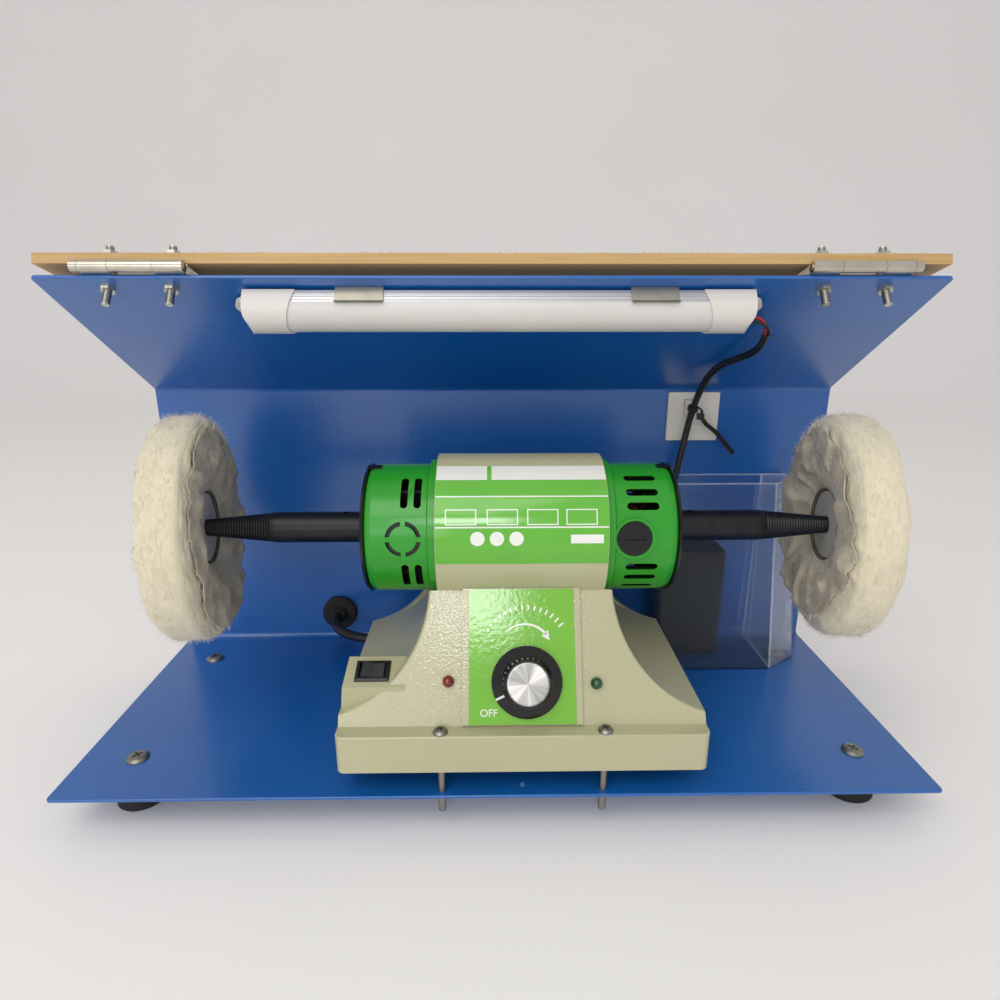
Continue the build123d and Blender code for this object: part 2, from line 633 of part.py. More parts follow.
saddle_top = 131.0
front_top = 126.2
body_back = (33.0, 27.5)
body_flare = ((98.0, 67.8), (63.0, 91.0), (50.8, 127.6))
scoop_flare = ((95.0, 70.5), (60.3, 92.2), (48.3, 127.6))
scoop_low = 69.5
scoop_high = 120.0
body_edge = 1.5
slab_low = SLAB_TOP - 2
side_outline = [
    (panel_y(slab_low), slab_low), (panel_y(front_top), front_top), (0, front_top), (0, saddle_top),
    (body_back[1], saddle_top), (body_back[0], slab_low)]
wide_cut = HOOD_WIDTH
body_side = prism([(-wide_cut / 2, y, z) for y, z in side_outline], (1, 0, 0), wide_cut)
body = flare(*body_flare, saddle_top) & body_side
curved_edges = [edge for edge in body.edges() if edge.geom_type != GeomType.LINE]
body = fillet(curved_edges, body_edge)

rim = 7.0
scoop_outline = [(panel_y(scoop_low) + rim, scoop_low), (panel_y(scoop_high) + rim, scoop_high),
                 (body_back[1] - rim, scoop_high), (body_back[0] - rim, scoop_low)]
scoop_side = prism([(-wide_cut / 2, y, z) for y, z in scoop_outline], (1, 0, 0), wide_cut)
body -= scoop_side - flare(*scoop_flare, saddle_top)

slab_corner = 4.5
slab_edge = 1.0
slab = block((MACHINE_X - SLAB_WIDTH / 2, MACHINE_X + SLAB_WIDTH / 2), (SLAB_FRONT, SLAB_BACK),
             (SLAB_BOTTOM, SLAB_TOP))
slab = fillet(slab.edges().filter_by(Axis.Z), slab_corner)
slab = fillet(slab.faces().sort_by(Axis.Z)[-1].edges(), slab_edge)

rocker_tilt = math.radians(ROCKER_SLOPE)
rocker = Plane((ROCKER_X, ROCKER_Y, ROCKER_Z), x_dir=(1, 0, 0),
               z_dir=(0, -math.sin(rocker_tilt), math.cos(rocker_tilt)))
box_half = 17.2
box_reach = 9.5
box_rise = box_reach * math.tan(rocker_tilt)
switch_outline = [(ROCKER_Y - box_reach, slab_low), (ROCKER_Y - box_reach, ROCKER_Z - box_rise),
                  (ROCKER_Y + box_reach, ROCKER_Z + box_rise), (ROCKER_Y + box_reach, slab_low)]
switch_box = prism([(ROCKER_X - 2 * box_half, y, z) for y, z in switch_outline], (1, 0, 0), 4 * box_half)
switch_top = ROCKER_Z + 10
switch_front = [(-85.6, slab_low), (-82.2, switch_top), (-50.6, switch_top), (-50.6, slab_low)]
switch_box &= prism([(x, SLAB_FRONT, z) for x, z in switch_front], (0, 1, 0), SLAB_BACK - SLAB_FRONT)
pedestal = slab + body + switch_box

strip_half = 32.0
strip_top = 72.3
strip_proud = 1.8
pedestal += panel * block((-strip_half, strip_half), (0.5, strip_top), (-2, strip_proud))

wall = 5.3
cavity_top = 104.0
cavity_half = 91.0
cavity_front_y = SLAB_FRONT + 6
cavity_back_y = 29.0
under = SLAB_BOTTOM - 1
cavity_right = [(45, cavity_top), (54, 92), (73, 73), (cavity_half, 58), (cavity_half, under)]
cavity_left = [(-x, z) for x, z in reversed(cavity_right)]
cavity_front = prism([(x, 0, z) for x, z in cavity_left + cavity_right], (0, 1, 0), 200)
cavity_side = prism([(-wide_cut / 2, y, z) for y, z in (
    (cavity_front_y, under), (cavity_front_y, 56), (panel_y(SLAB_TOP) + wall, SLAB_TOP),
    (panel_y(cavity_top) + wall, cavity_top), (22, cavity_top), (27, SLAB_TOP), (cavity_back_y, 56),
    (cavity_back_y, under))], (1, 0, 0), wide_cut)
pedestal -= (Pos(MACHINE_X, -100) * cavity_front) & cavity_side
front_boss = 4.0
back_boss = 4.9
boss_top = 58.0
for x in bolt_sides:
    pedestal += Pos(x, BOLT_FRONT_Y) * post(front_boss, SLAB_BOTTOM, SLAB_TOP - 1)
    pedestal += Pos(x, BOLT_BACK_Y) * post(back_boss, SLAB_BOTTOM, boss_top)
    pedestal += block((x - back_boss, x + back_boss), (BOLT_BACK_Y, cavity_back_y + 1),
                      (SLAB_BOTTOM, boss_top - 2))
    pedestal -= Pos(x, BOLT_FRONT_Y) * post(FRONT_BOLT_RADIUS + 0.1, SLAB_BOTTOM - 1, SLAB_TOP + 1)
    pedestal -= Pos(x, BOLT_BACK_Y) * post(M5_RADIUS + 0.02, SLAB_BOTTOM - 1, boss_top - 2)
pedestal -= Pos(MACHINE_X, SHAFT_Y, SHAFT_Z) * rod_x(TUBE_RADIUS + 0.1, -80, 80)
bushing_hole = 4.5
pedestal -= panel * Pos(KNOB_X, KNOB_S) * post(bushing_hole, -20, 5)
for spot in (RED_SPOT, GREEN_SPOT):
    pedestal -= panel * Pos(*spot) * post(INDICATOR_RADIUS + 0.05, -12, 5)
rocker_hole = (16.3, 11.3)
pedestal -= rocker * Pos(0, 0, -8) * Box(*rocker_hole, 18)
cord_turn = Vector(-69, 41.5, 48.5)
cord_end = Vector(-58, 33, 50)
pedestal -= Plane(cord_end, z_dir=cord_end - cord_turn) * Cylinder(CORD_RADIUS + 0.3, 20)
save("pedestal", pedestal)

cover_slack = 0.3
cover_x = cavity_half - cover_slack
cover = block((MACHINE_X - cover_x, MACHINE_X + cover_x),
              (cavity_front_y + cover_slack, cavity_back_y - cover_slack), (SLAB_BOTTOM, SLAB_BOTTOM + 1.5))
for x in bolt_sides:
    for y in (BOLT_FRONT_Y, BOLT_BACK_Y):
        cover -= Pos(x, y, SLAB_BOTTOM) * Box(2 * (back_boss + cover_slack), 15, 10)
save("pedestal_bottom_cover", cover)

pad_x = 86.0
pad_y = (-62.0, 24.0)
pad_radius = 8.0
pads = [Pos(MACHINE_X + side * pad_x, y) * post(pad_radius, plate_top, SLAB_BOTTOM)
        for side in (-1, 1) for y in pad_y]
save("pedestal_pads", *pads)

# Pedestal bolts: the front pair screws through the ledge into the plate, the back pair comes up from below
pan_radius = 4.0
pan_height = 2.2
pan_recess = (4.2, 1.0, 2.2)
bolt_end = 13.4
bolt_head_radius = 4.6
bolt_head_height = 3.5
pan_top = SLAB_TOP + pan_height
pedestal_bolts = []
for x in bolt_sides:
    front = turned_z([
        (0, bolt_end), (FRONT_BOLT_RADIUS, bolt_end), (FRONT_BOLT_RADIUS, SLAB_TOP), (pan_radius, SLAB_TOP),
        (pan_radius, SLAB_TOP + 0.7), (pan_radius - 1, pan_top - 0.4), (pan_radius - 2, pan_top),
        (0, pan_top)])
    for turn in (20, 110):
        front -= Pos(0, 0, pan_top) * Rot(0, 0, turn) * Box(*pan_recess)
    pedestal_bolts.append(Pos(x, BOLT_FRONT_Y) * front)
    back = hexagon(bolt_head_radius, FOOT_HEIGHT - bolt_head_height, FOOT_HEIGHT)
    pedestal_bolts.append(Pos(x, BOLT_BACK_Y) * (back + post(M5_RADIUS, FOOT_HEIGHT, boss_top - 4)))
save("pedestal_bolts", *pedestal_bolts)

# Front panel film, indicator lamps, potentiometer, knob with cap and shaft
film_half = 28.6
film_ends = (0.7, 71.9)
film_top = strip_proud + 0.5
film = panel * block((-film_half, film_half), film_ends, (strip_proud, film_top))
film -= panel * Pos(KNOB_X, KNOB_S) * post(bushing_hole, 0, 5)
save("control_panel", film)

lens_rise = 1.0
lens = turned_z([(0, -4), (INDICATOR_RADIUS, -4), (INDICATOR_RADIUS, lens_rise), (0, lens_rise)])
lens += Pos(0, 0, lens_rise) * (Sphere(INDICATOR_RADIUS) - Pos(0, 0, -5) * Box(10, 10, 10))
save("red_indicator", panel * Pos(*RED_SPOT) * lens)
save("green_indicator", panel * Pos(*GREEN_SPOT) * lens)

knob_axis = panel * Pos(KNOB_X, KNOB_S)
pot_shaft_radius = 3.0
bushing_radius = 4.4
pot_back = -16.0
pot_front = -6.0
bushing_top = film_top + 0.2
pot = post(12.0, pot_back, pot_front) + post(bushing_radius, pot_front - 1, bushing_top)
pot -= post(pot_shaft_radius + RUNNING_FIT, pot_front - 4, bushing_top + 1)
save("potentiometer", knob_axis * pot)
knob_low = film_top + 0.6
skirt_rim = knob_low + 1.2
skirt_top = knob_low + 4.6
knob_top = knob_low + 13.0
cap_recess = 1.8
shaft_top = knob_low + 9.0
knob = turned_z([
    (pot_shaft_radius, knob_low), (KNOB_RADIUS, knob_low), (KNOB_RADIUS, skirt_rim),
    (KNOB_GRIP_RADIUS + 0.6, skirt_top), (KNOB_GRIP_RADIUS, skirt_top + 0.6),
    (KNOB_GRIP_RADIUS - 0.4, knob_top - 1), (KNOB_GRIP_RADIUS - 1.2, knob_top), (KNOB_CAP_RADIUS, knob_top),
    (KNOB_CAP_RADIUS, knob_top - cap_recess), (0, knob_top - cap_recess), (0, shaft_top),
    (pot_shaft_radius, shaft_top)])
flute_count = 28
flute_radius = 0.9
for index in range(flute_count):
    flute = Pos(KNOB_GRIP_RADIUS + 0.3, 0) * post(flute_radius, skirt_top + 0.8, knob_top + 1)
    knob -= Rot(0, 0, index * 360 / flute_count) * flute
save("knob", knob_axis * knob)
cap_rise = 0.7
dial = turned_z([(0, knob_top - cap_recess), (KNOB_CAP_RADIUS - 0.02, knob_top - cap_recess),
                 (KNOB_CAP_RADIUS - 0.02, knob_top + cap_rise - 0.5),
                 (KNOB_CAP_RADIUS - 0.6, knob_top + cap_rise), (0, knob_top + cap_rise)])
save("knob_cap", knob_axis * dial)
save("pot_shaft", knob_axis * post(pot_shaft_radius - 0.01, pot_front - 3, shaft_top))

# Rocker switch: bezel with its rear housing, button on two small pivots
bezel_size = (18.6, 13.3)
bezel_height = 1.8
opening = (14.6, 9.9)
housing_size = (16.0, 11.0)
housing_depth = 13.0
pivot_z = -2.0
pivot_radius = 1.2
bezel = Pos(0, 0, bezel_height / 2) * Box(*bezel_size, bezel_height)
bezel = chamfer(bezel.faces().sort_by(Axis.Z)[-1].edges(), 0.8)
bezel += Pos(0, 0, -housing_depth / 2) * Box(*housing_size, housing_depth)
bezel -= block((-opening[0] / 2, opening[0] / 2), (-opening[1] / 2, opening[1] / 2),
               (1.2 - housing_depth, bezel_height + 1))
pivot_line = Pos(0, 0, pivot_z) * Rot(90, 0, 0)
bezel -= pivot_line * Cylinder(pivot_radius + RUNNING_FIT, housing_size[1] + 1)
save("rocker_bezel", rocker * bezel)
button_radius = 7.1
button_width = 9.4
wedge = prism([(x, -button_width / 2, z) for x, z in (
    (-9, -6), (9, -6), (9, 3.6), (0, 1.2), (-9, 3.6))], (0, 1, 0), button_width)
button = wedge & (pivot_line * Cylinder(button_radius, 2 * button_width))
button += pivot_line * Cylinder(pivot_radius, housing_size[1] - 0.2)
swing = Pos(0, 0, pivot_z) * Rot(0, ROCKER_REST, 0) * Pos(0, 0, -pivot_z)
save("rocker_button", rocker * swing * button)

# Motor: every piece is placed from the middle of the shaft
motor = Pos(MACHINE_X, SHAFT_Y, SHAFT_Z)
save("motor_tube", motor * tube_x(TUBE_RADIUS, TUBE_RADIUS - TUBE_WALL, -TUBE_HALF, TUBE_HALF))
label_skin = 0.3
label_half = TUBE_HALF - 0.3
label = sector(-label_half, label_half, TUBE_RADIUS, TUBE_RADIUS + label_skin, *LABEL_ANGLES)
save("motor_label", motor * label)

spigot = TUBE_RADIUS - TUBE_WALL - 0.1
shaft_hole = 7.0
end_wall = 4.0
collar_radius = 39.5
collar_end = TUBE_HALF + 4
cap_profile = [
    (TUBE_HALF - 6.6, spigot), (TUBE_HALF + 0.05, spigot), (TUBE_HALF + 0.05, collar_radius),
    (collar_end, collar_radius), (collar_end + 1, CAP_RADIUS), (CAP_END - 4, CAP_RADIUS),
    (CAP_END - 1.2, CAP_RADIUS - 0.9), (CAP_END, CAP_RADIUS - 2.5), (CAP_END, shaft_hole),
    (BEARING_SEAT[1], shaft_hole),
    (BEARING_SEAT[1], BEARING_OUTER), (BEARING_SEAT[0], BEARING_OUTER), (BEARING_SEAT[0], BEARING_OUTER + 4),
    (CAP_END - end_wall, BEARING_OUTER + 4), (CAP_END - end_wall, CAP_BORE), (TUBE_HALF - 6.6, CAP_BORE)]
cap_right = turned_x(cap_profile)
cap_left = turned_x([(-x, r) for x, r in cap_profile])
views = (CAP_VIEW_ANGLE, CAP_VIEW_ANGLE + 180)

slot_width = 4.0
slot_floor = CAP_RADIUS - 7
slot_reach = 12.0
pad_half = 12.0
pad_rise = 0.6


def raised_pad(x, view):
    """Flat raised field on a cap's side around a round feature, running to the collar."""
    run = abs(x) - collar_end
    field = Circle(pad_half) + Pos(-math.copysign(run / 2, x)) * Rectangle(run, 2 * pad_half)
    ends = sorted(math.copysign(end, x) for end in (collar_end, CAP_END - 5))
    skin = tube_x(CAP_RADIUS + pad_rise, CAP_RADIUS - 1, *ends)
    return (radial(x, view, slot_floor) * extrude(field, slot_reach)) & skin


def round_slot(x, high, low):
    """Cutter for a slot around a cap between two angles, with round ends."""
    end_turn = math.degrees(slot_width / 2 / CAP_RADIUS)
    ends = (high - end_turn, low + end_turn)
    slot = sector(x - slot_width / 2, x + slot_width / 2, slot_floor, slot_floor + slot_reach, *ends)
    for angle in ends:
        slot += radial(x, angle, slot_floor) * post(slot_width / 2, 0, slot_reach)
    return slot


# Left cap: two rows of slots around the fan, and a spoked ring sunk in a raised field between them
ring_x = -63.6
ring_groove = pipe_z(9.7, 7.3, -1.9, 4) - Box(22, 2.6, 20) - Box(2.6, 22, 20)
for view in views:
    cap_left += raised_pad(ring_x, view)
    for x in (-63.3, -56.1):
        cap_left -= round_slot(x, view + 57, view + 26)
        cap_left -= round_slot(x, view - 23.5, view - 52)
    cap_left -= radial(ring_x, view, CAP_RADIUS) * ring_groove
save("end_cap_left", motor * cap_left)

# Right cap: rows of lengthwise slots, and a boss with a hole for each brush cap in a raised field
brush_cap_radius = 9.4
boss_rise = 1.2
boss_ring = pipe_z(brush_cap_radius + 1.8, brush_cap_radius + 0.2, slot_floor, CAP_RADIUS + boss_rise)
for view in views:
    cap_right += raised_pad(BRUSH_X, view)
    for turn in (27, 40, 56, -27, -40, -56):
        slot = extrude(SlotOverall(17.5, 4.4), slot_reach)
        cap_right -= radial(65.9, view + turn, slot_floor) * slot
    boss = radial(BRUSH_X, view, 0) * boss_ring
    cap_right += boss - rod_x(CAP_BORE, 40, 80)
    cap_right -= radial(BRUSH_X, view, 0) * post(brush_cap_radius + 0.2, 20, 45)
save("end_cap_right", motor * cap_right)

rims = []
for side in (-1, 1):
    rim_profile = [(CAP_END, shaft_hole), (CAP_END + RIM_WIDTH, shaft_hole), (CAP_END + RIM_WIDTH, 33.0),
                   (CAP_END + 1.6, 36.4), (CAP_END, CAP_RADIUS + 0.4)]
    ring = turned_x([(side * x, r) for x, r in rim_profile])
    for turn in (84, 264):
        tab = sector(*sorted((side * (CAP_END - 7), side * (CAP_END + 1))), CAP_RADIUS + 0.05,
                     CAP_RADIUS + 0.8, turn + 4, turn - 4)
        ring += tab
    rims.append(motor * ring)
save("end_rims", *rims)

# Stator stack with two field coils in its slots
coil_in = 28.0
coil_out = 38.0
coil_half = 37.0
field_coils = []
stator = tube_x(spigot, ARMATURE_RADIUS + 0.6, -STACK_HALF, STACK_HALF)
for middle in (CAP_VIEW_ANGLE + 90, CAP_VIEW_ANGLE - 90):
    coil = sector(-coil_half, coil_half, coil_in, coil_out, middle + 50, middle - 50)
    coil -= sector(1 - coil_half + 10, coil_half - 11, coil_in - 1, coil_out + 1, middle + 36, middle - 36)
    field_coils.append(motor * coil)
    stator -= coil
save("stator_core", motor * stator)
save("field_coils", *field_coils)

# Brush holders, carbon brushes with their springs, brush caps
holders = []
brushes = []
brush_caps = []
brush_tip = COMMUTATOR_RADIUS + 0.3
for view in views:
    line = motor * radial(BRUSH_X, view, 0).location
    holder = Pos(0, 0, 24.5) * Box(10, 8, 18) + post(brush_cap_radius, 32, 33.5)
    holder -= Pos(0, 0, 25) * Box(7.2, 5.2, 30)
    holders.append(line * holder)
    brushes.append(line * block((-3.5, 3.5), (-2.5, 2.5), (brush_tip, 26)))
    brushes.append(line * post(2.2, 26, 33.4))
    cap_lid = post(brush_cap_radius, 33.5, CAP_RADIUS + boss_rise + 0.4)
    cap_lid -= Pos(0, 0, CAP_RADIUS + boss_rise + 0.4) * Box(12, 1.6, 2.4)
    brush_caps.append(line * cap_lid)
save("brush_holders", *holders)
save("carbon_brushes", *brushes)
save("brush_caps", *brush_caps)

# Ball bearings: outer rings sit in the caps, inner rings and balls turn with the shaft
ball_radius = 1.6
ball_circle = 8.4
ball_count = 9
outer_rings = []
inner_sets = []
for side in (-1, 1):
    start, end = sorted((side * BEARING_SEAT[0], side * BEARING_SEAT[1]))
    outer_rings.append(motor * tube_x(BEARING_OUTER - 0.02, 10.35, start, end))
    inner_sets.append(motor * tube_x(6.7, BEARING_BORE + 0.01, start, end))
    for index in range(ball_count):
        turn = Rot(index * 360 / ball_count, 0, 0)
        inner_sets.append(motor * Pos((start + end) / 2) * turn * Pos(0, ball_circle) * Sphere(ball_radius))
save("bearing_outer_rings", *outer_rings)
save("bearing_inner_sets", *inner_sets)

# Rotor: stepped shaft, slotted armature, end windings, commutator, fan
shaft_step = 70.0
shaft_end = 112.0
save("rotor_shaft", motor * turned_x([
    (-shaft_end, 0), (-shaft_end, BEARING_BORE), (-shaft_step, BEARING_BORE), (-shaft_step, SHAFT_RADIUS),
    (shaft_step, SHAFT_RADIUS), (shaft_step, BEARING_BORE), (shaft_end, BEARING_BORE), (shaft_end, 0)]))
armature = tube_x(ARMATURE_RADIUS, SHAFT_RADIUS + 0.01, -STACK_HALF, STACK_HALF)
armature_slots = 12
for index in range(armature_slots):
    slot = Pos(0, 0, ARMATURE_RADIUS) * Box(2 * STACK_HALF + 2, 3.0, 16)
    armature -= Rot(index * 360 / armature_slots, 0, 0) * slot
save("armature_core", motor * armature)
winding_reach = 13.0
windings = [
    motor * tube_x(22.0, SHAFT_RADIUS + 1, *sorted((side * STACK_HALF, side * (STACK_HALF + winding_reach))))
    for side in (-1, 1)]
save("armature_windings", *windings)
commutator = tube_x(COMMUTATOR_RADIUS, SHAFT_RADIUS + 0.01, 51.0, 69.0)
commutator += tube_x(COMMUTATOR_RADIUS + 1.5, SHAFT_RADIUS + 0.01, 48.5, 51.0)
segment_count = 24
for index in range(segment_count):
    cut = Pos(59, 0, COMMUTATOR_RADIUS + 1) * Box(24, 0.5, 4)
    commutator -= Rot(index * 360 / segment_count, 0, 0) * cut
save("commutator", motor * commutator)
fan_radius = 31.5
fan = tube_x(12.0, SHAFT_RADIUS + 0.01, -67, -52) + tube_x(fan_radius, SHAFT_RADIUS + 0.01, -54, -52)
blade_count = 11
for index in range(blade_count):
    blade = block((-67, -53), (-0.8, 0.8), (10, fan_radius - 0.5))
    fan += Rot(index * 360 / blade_count, 0, 0) * blade
save("cooling_fan", motor * fan)


# Taper spindles: smooth sleeve pushed on the shaft, then a threaded taper for the buff
def taper_radius(x):
    """Outside radius of the spindle at one place along the shaft."""
    if x <= SPINDLE_TAPER:
        return SPINDLE_RADIUS
    if x <= SPINDLE_NECK:
        share = (x - SPINDLE_TAPER) / (SPINDLE_NECK - SPINDLE_TAPER)
        return SPINDLE_RADIUS + share * (SPINDLE_NECK_RADIUS - SPINDLE_RADIUS)
    share = (x - SPINDLE_NECK) / (SPINDLE_TIP - SPINDLE_NECK)
    return SPINDLE_NECK_RADIUS + share * (SPINDLE_TIP_RADIUS - SPINDLE_NECK_RADIUS)


spindle_profile = [(SPINDLE_START, BEARING_BORE + 0.01), (SPINDLE_START, SPINDLE_RADIUS - 0.8),
                   (SPINDLE_START + 0.8, SPINDLE_RADIUS), (SPINDLE_TAPER, SPINDLE_RADIUS)]
groove_x = SPINDLE_TAPER + 3
while groove_x < SPINDLE_TIP - THREAD_PITCH:
    bottom_x = groove_x + THREAD_PITCH / 2
    spindle_profile.append((groove_x, taper_radius(groove_x)))
    spindle_profile.append((bottom_x, taper_radius(bottom_x) - THREAD_DEPTH))
    groove_x += THREAD_PITCH
spindle_profile += [(groove_x, taper_radius(groove_x)), (SPINDLE_TIP - 0.8, SPINDLE_TIP_RADIUS),
                    (SPINDLE_TIP, SPINDLE_TIP_RADIUS - 0.8), (SPINDLE_TIP, 0), (shaft_end, 0),
                    (shaft_end, BEARING_BORE + 0.01)]
envelope = [(SPINDLE_START, 0)] + [(x, taper_radius(x) + 0.02) for x in (
    SPINDLE_START, SPINDLE_TAPER, SPINDLE_NECK, SPINDLE_TIP)] + [(SPINDLE_TIP + 0.1, 0)]
socket = SPINDLE_RADIUS + 3
set_screw_x = SPINDLE_START + 12

# Buffs: sewn cotton discs, thick at the rim and pressed thin at the hub, leaning on their taper
buff_profile = [
    (-5, 0), (-5, 21), (-7.5, 26), (-11, 32), (-13, 38), (-13.5, 46), (-13.3, 54), (-12.4, 60), (-10.6, 63.4),
    (-8, 64.8), (-5.5, BUFF_RADIUS), (5.5, BUFF_RADIUS), (8, 64.8), (10.6, 63.4), (12.4, 60), (13.3, 54),
    (13.5, 46), (13, 38), (11, 32), (7.5, 26), (5, 21), (5, 0)]
disc_radius = 20.0
disc_thick = 1.6
flange_discs = []
for side, name in ((-1, "left"), (1, "right")):
    spindle = turned_x([(side * x, r) for x, r in spindle_profile])
    for turn in (0, 180):
        spindle -= Pos(side * set_screw_x) * Rot(turn, 0, 0) * post(2.0, 4.5, 12)
    save(f"spindle_{name}", motor * spindle)
    core = turned_x([(side * x, r) for x, r in envelope])
    lean = Pos(side * BUFF_X) * Rot(0, 0, -side * BUFF_TOE)
    save(f"buff_{name}", motor * (lean * turned_x(buff_profile) - core))
    for face in (-5 - disc_thick, 5):
        flange_discs.append(motor * (lean * rod_x(disc_radius, face, face + disc_thick) - core))
save("buff_flanges", *flange_discs)

# Wall grommet with a short sleeve inside and a tapered one behind the wall
inner_sleeve = 9.0
sleeve_length = 20.0
grommet_profile = [
    (0, -inner_sleeve), (5.2, -inner_sleeve), (6.6, -5), (12.0, -5), (13.0, -4), (13.0, 0), (grommet_neck, 0),
    (grommet_neck, SHEET), (11.0, SHEET), (11.0, SHEET + 4), (7.0, SHEET + 4), (4.9, SHEET + sleeve_length),
    (0, SHEET + sleeve_length)]
save("wall_grommet", grommet_axis * turned_z(grommet_profile))

# Mains cord: the stretch inside the hood ends in the pedestal, the free stretch reaches the hank
cord_exit_y = back_out + sleeve_length
inner_route = [
    (GROMMET_X, back_in - inner_sleeve, GROMMET_Z), (GROMMET_X, 70, GROMMET_Z), (-117.9, 60.5, 47),
    (-109.5, 52, 46.5), (-97, 47, 46), (-83, 44.5, 46.5), tuple(cord_turn), tuple(cord_end)]
save("cord_inner", tube_along("inner cord", bent_path("inner cord", inner_route, CORD_RADIUS), CORD_RADIUS))

coil_start = (COIL_X, COIL_Y + COIL_RADIUS, COIL_FLOOR)
free_route = [
    (GROMMET_X, cord_exit_y, GROMMET_Z), (GROMMET_X, 126, GROMMET_Z), (-120.6, 142.5, 43),
    (-118.8, 156.5, 31.5), (-114.5, 167.5, 18), (-106, 178.5, 7.5), (-92.5, 189.5, COIL_FLOOR),
    (-75.5, coil_start[1], COIL_FLOOR), coil_start]
save("cord_free", tube_along("free cord", bent_path("free cord", free_route, CORD_RADIUS), CORD_RADIUS))

# Hank: half turns whose ends lie on one line, in along the floor, up a layer, out on top
reach = [COIL_RADIUS - step * COIL_PITCH / 2 for step in range(COIL_HALF_TURNS)]
reach.append(COIL_RADIUS - COIL_HALF_TURNS * COIL_PITCH / 2 - COIL_CLIMB_INSET)
inward = [(r if step % 2 else -r) for step, r in enumerate(reach)]
outward = [-x for x in reversed(inward)]
upper = COIL_FLOOR + COIL_LAYER


def half_turns(stations, z):
    """Half circles through stations on one line, always turning the same way."""
    arcs = []
    for x0, x1 in zip(stations, stations[1:]):
        middle = ((x0 + x1) / 2, (x1 - x0) / 2, z)
        arcs.append(ThreePointArc((x0, 0, z), middle, (x1, 0, z)))
    return arcs


climb_from = Vector(inward[-1], 0, COIL_FLOOR)
climb_to = Vector(outward[0], 0, upper)
climb_top = math.hypot(outward[0], COIL_LAYER / 2)
climb_middle = Vector(0, climb_top, COIL_FLOOR + COIL_LAYER / 2)
climb = [TangentArc(climb_from, climb_middle, tangent=(0, 1, 0)),
         TangentArc(climb_middle, climb_to, tangent=(0, 1, 0), tangent_from_first=False)]
tail = Line((outward[-1], 0, upper), (outward[-1], -COIL_TAIL, upper))
coil_edges = half_turns(inward, COIL_FLOOR) + climb + half_turns(outward, upper) + [tail]
coil_path = Pos(COIL_X, COIL_Y) * Rot(0, 0, -90) * Wire([edge.edge() for edge in coil_edges])
coil = tube_along("hank", coil_path, CORD_RADIUS)
save("cord_coil", coil)

# Least gap between neighbouring turns, on points along the middle of the cord
samples = 700
spots = [coil_path @ (index / samples) for index in range(samples + 1)]
apart = int(8 * CORD_RADIUS / coil_path.length * samples) + 1
least = min((spots[i] - spots[j]).length for i in range(samples + 1) for j in range(i + apart, samples + 1))
print(f"hank: length {coil_path.length:.0f}, least gap {least - 2 * CORD_RADIUS:.2f}")

# Plug: tapered boot, flat sided body, two flat blades
plug_half = 10.8
plug_line = Pos(COIL_X - COIL_TAIL, COIL_Y - COIL_RADIUS, upper) * Rot(0, 0, 180)
boot = turned_x([(0, 0), (0, 4.6), (14, 7.0), (15, 7.0), (15, 0)])
grip = block((14, 40), (-10, 10), (-plug_half, plug_half))
grip = fillet(grip.edges().filter_by(Axis.X), 4.0)
grip = chamfer(grip.faces().sort_by(Axis.X)[0].edges(), 2.0)
blades = [block((39, 57), (side * 6.35 - 0.75, side * 6.35 + 0.75), (-3.2, 3.2)) for side in (-1, 1)]
save("cord_plug", plug_line * (boot + grip + blades))
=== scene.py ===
import math
import random

import bmesh
import bpy
from mathutils import Matrix, Vector, noise


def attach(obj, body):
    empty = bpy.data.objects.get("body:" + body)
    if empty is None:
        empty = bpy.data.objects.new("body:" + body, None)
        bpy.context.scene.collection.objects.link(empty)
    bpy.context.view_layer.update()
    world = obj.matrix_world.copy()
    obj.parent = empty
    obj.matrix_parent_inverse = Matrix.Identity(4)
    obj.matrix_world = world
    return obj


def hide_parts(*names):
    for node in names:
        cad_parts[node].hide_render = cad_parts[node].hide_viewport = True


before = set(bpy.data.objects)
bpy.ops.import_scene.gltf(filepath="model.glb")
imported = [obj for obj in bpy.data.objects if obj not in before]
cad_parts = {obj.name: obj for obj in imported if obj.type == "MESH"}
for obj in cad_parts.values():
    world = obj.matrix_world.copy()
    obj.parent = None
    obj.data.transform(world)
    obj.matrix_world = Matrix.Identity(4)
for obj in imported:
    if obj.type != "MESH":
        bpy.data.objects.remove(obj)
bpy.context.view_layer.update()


# Hood: one steel sheet, bent into base plate, back wall and forward flap, that carries every other piece.
# It is powder coated blue: the baked powder flows into a gloss with a soft orange peel.
MM = 0.001


def linear(code):
    """Linear colour of an sRGB hex value."""
    channels = [int(code[at:at + 2], 16) / 255 for at in (1, 3, 5)]
    return [c / 12.92 if c <= 0.04045 else ((c + 0.055) / 1.055) ** 2.4 for c in channels] + [1.0]


def every(size):
    """Texture scale of a pattern whose features are this many millimetres apart."""
    return 1 / (size * MM)


def feed(node, sockets):
    """Set a node's inputs, or link them to an output, which for a whole node is the first one in use."""
    for name, source in sockets.items():
        if isinstance(source, bpy.types.Node):
            source = next(output for output in source.outputs if output.enabled)
        if isinstance(source, bpy.types.NodeSocket):
            node.id_data.links.new(source, node.inputs[name])
        else:
            node.inputs[name].default_value = source


def add(material, kind, sockets=None, **settings):
    """Add one shader node with its settings and links."""
    made = material.node_tree.nodes.new("ShaderNode" + kind)
    for name, value in settings.items():
        setattr(made, name, value)
    feed(made, sockets or {})
    return made


def new_material(name):
    """New material, its surface shader and its place on the piece."""
    material = bpy.data.materials.new(name)
    material.use_nodes = True
    spot = add(material, "TexCoord").outputs["Object"]
    return material, material.node_tree.nodes["Principled BSDF"], spot


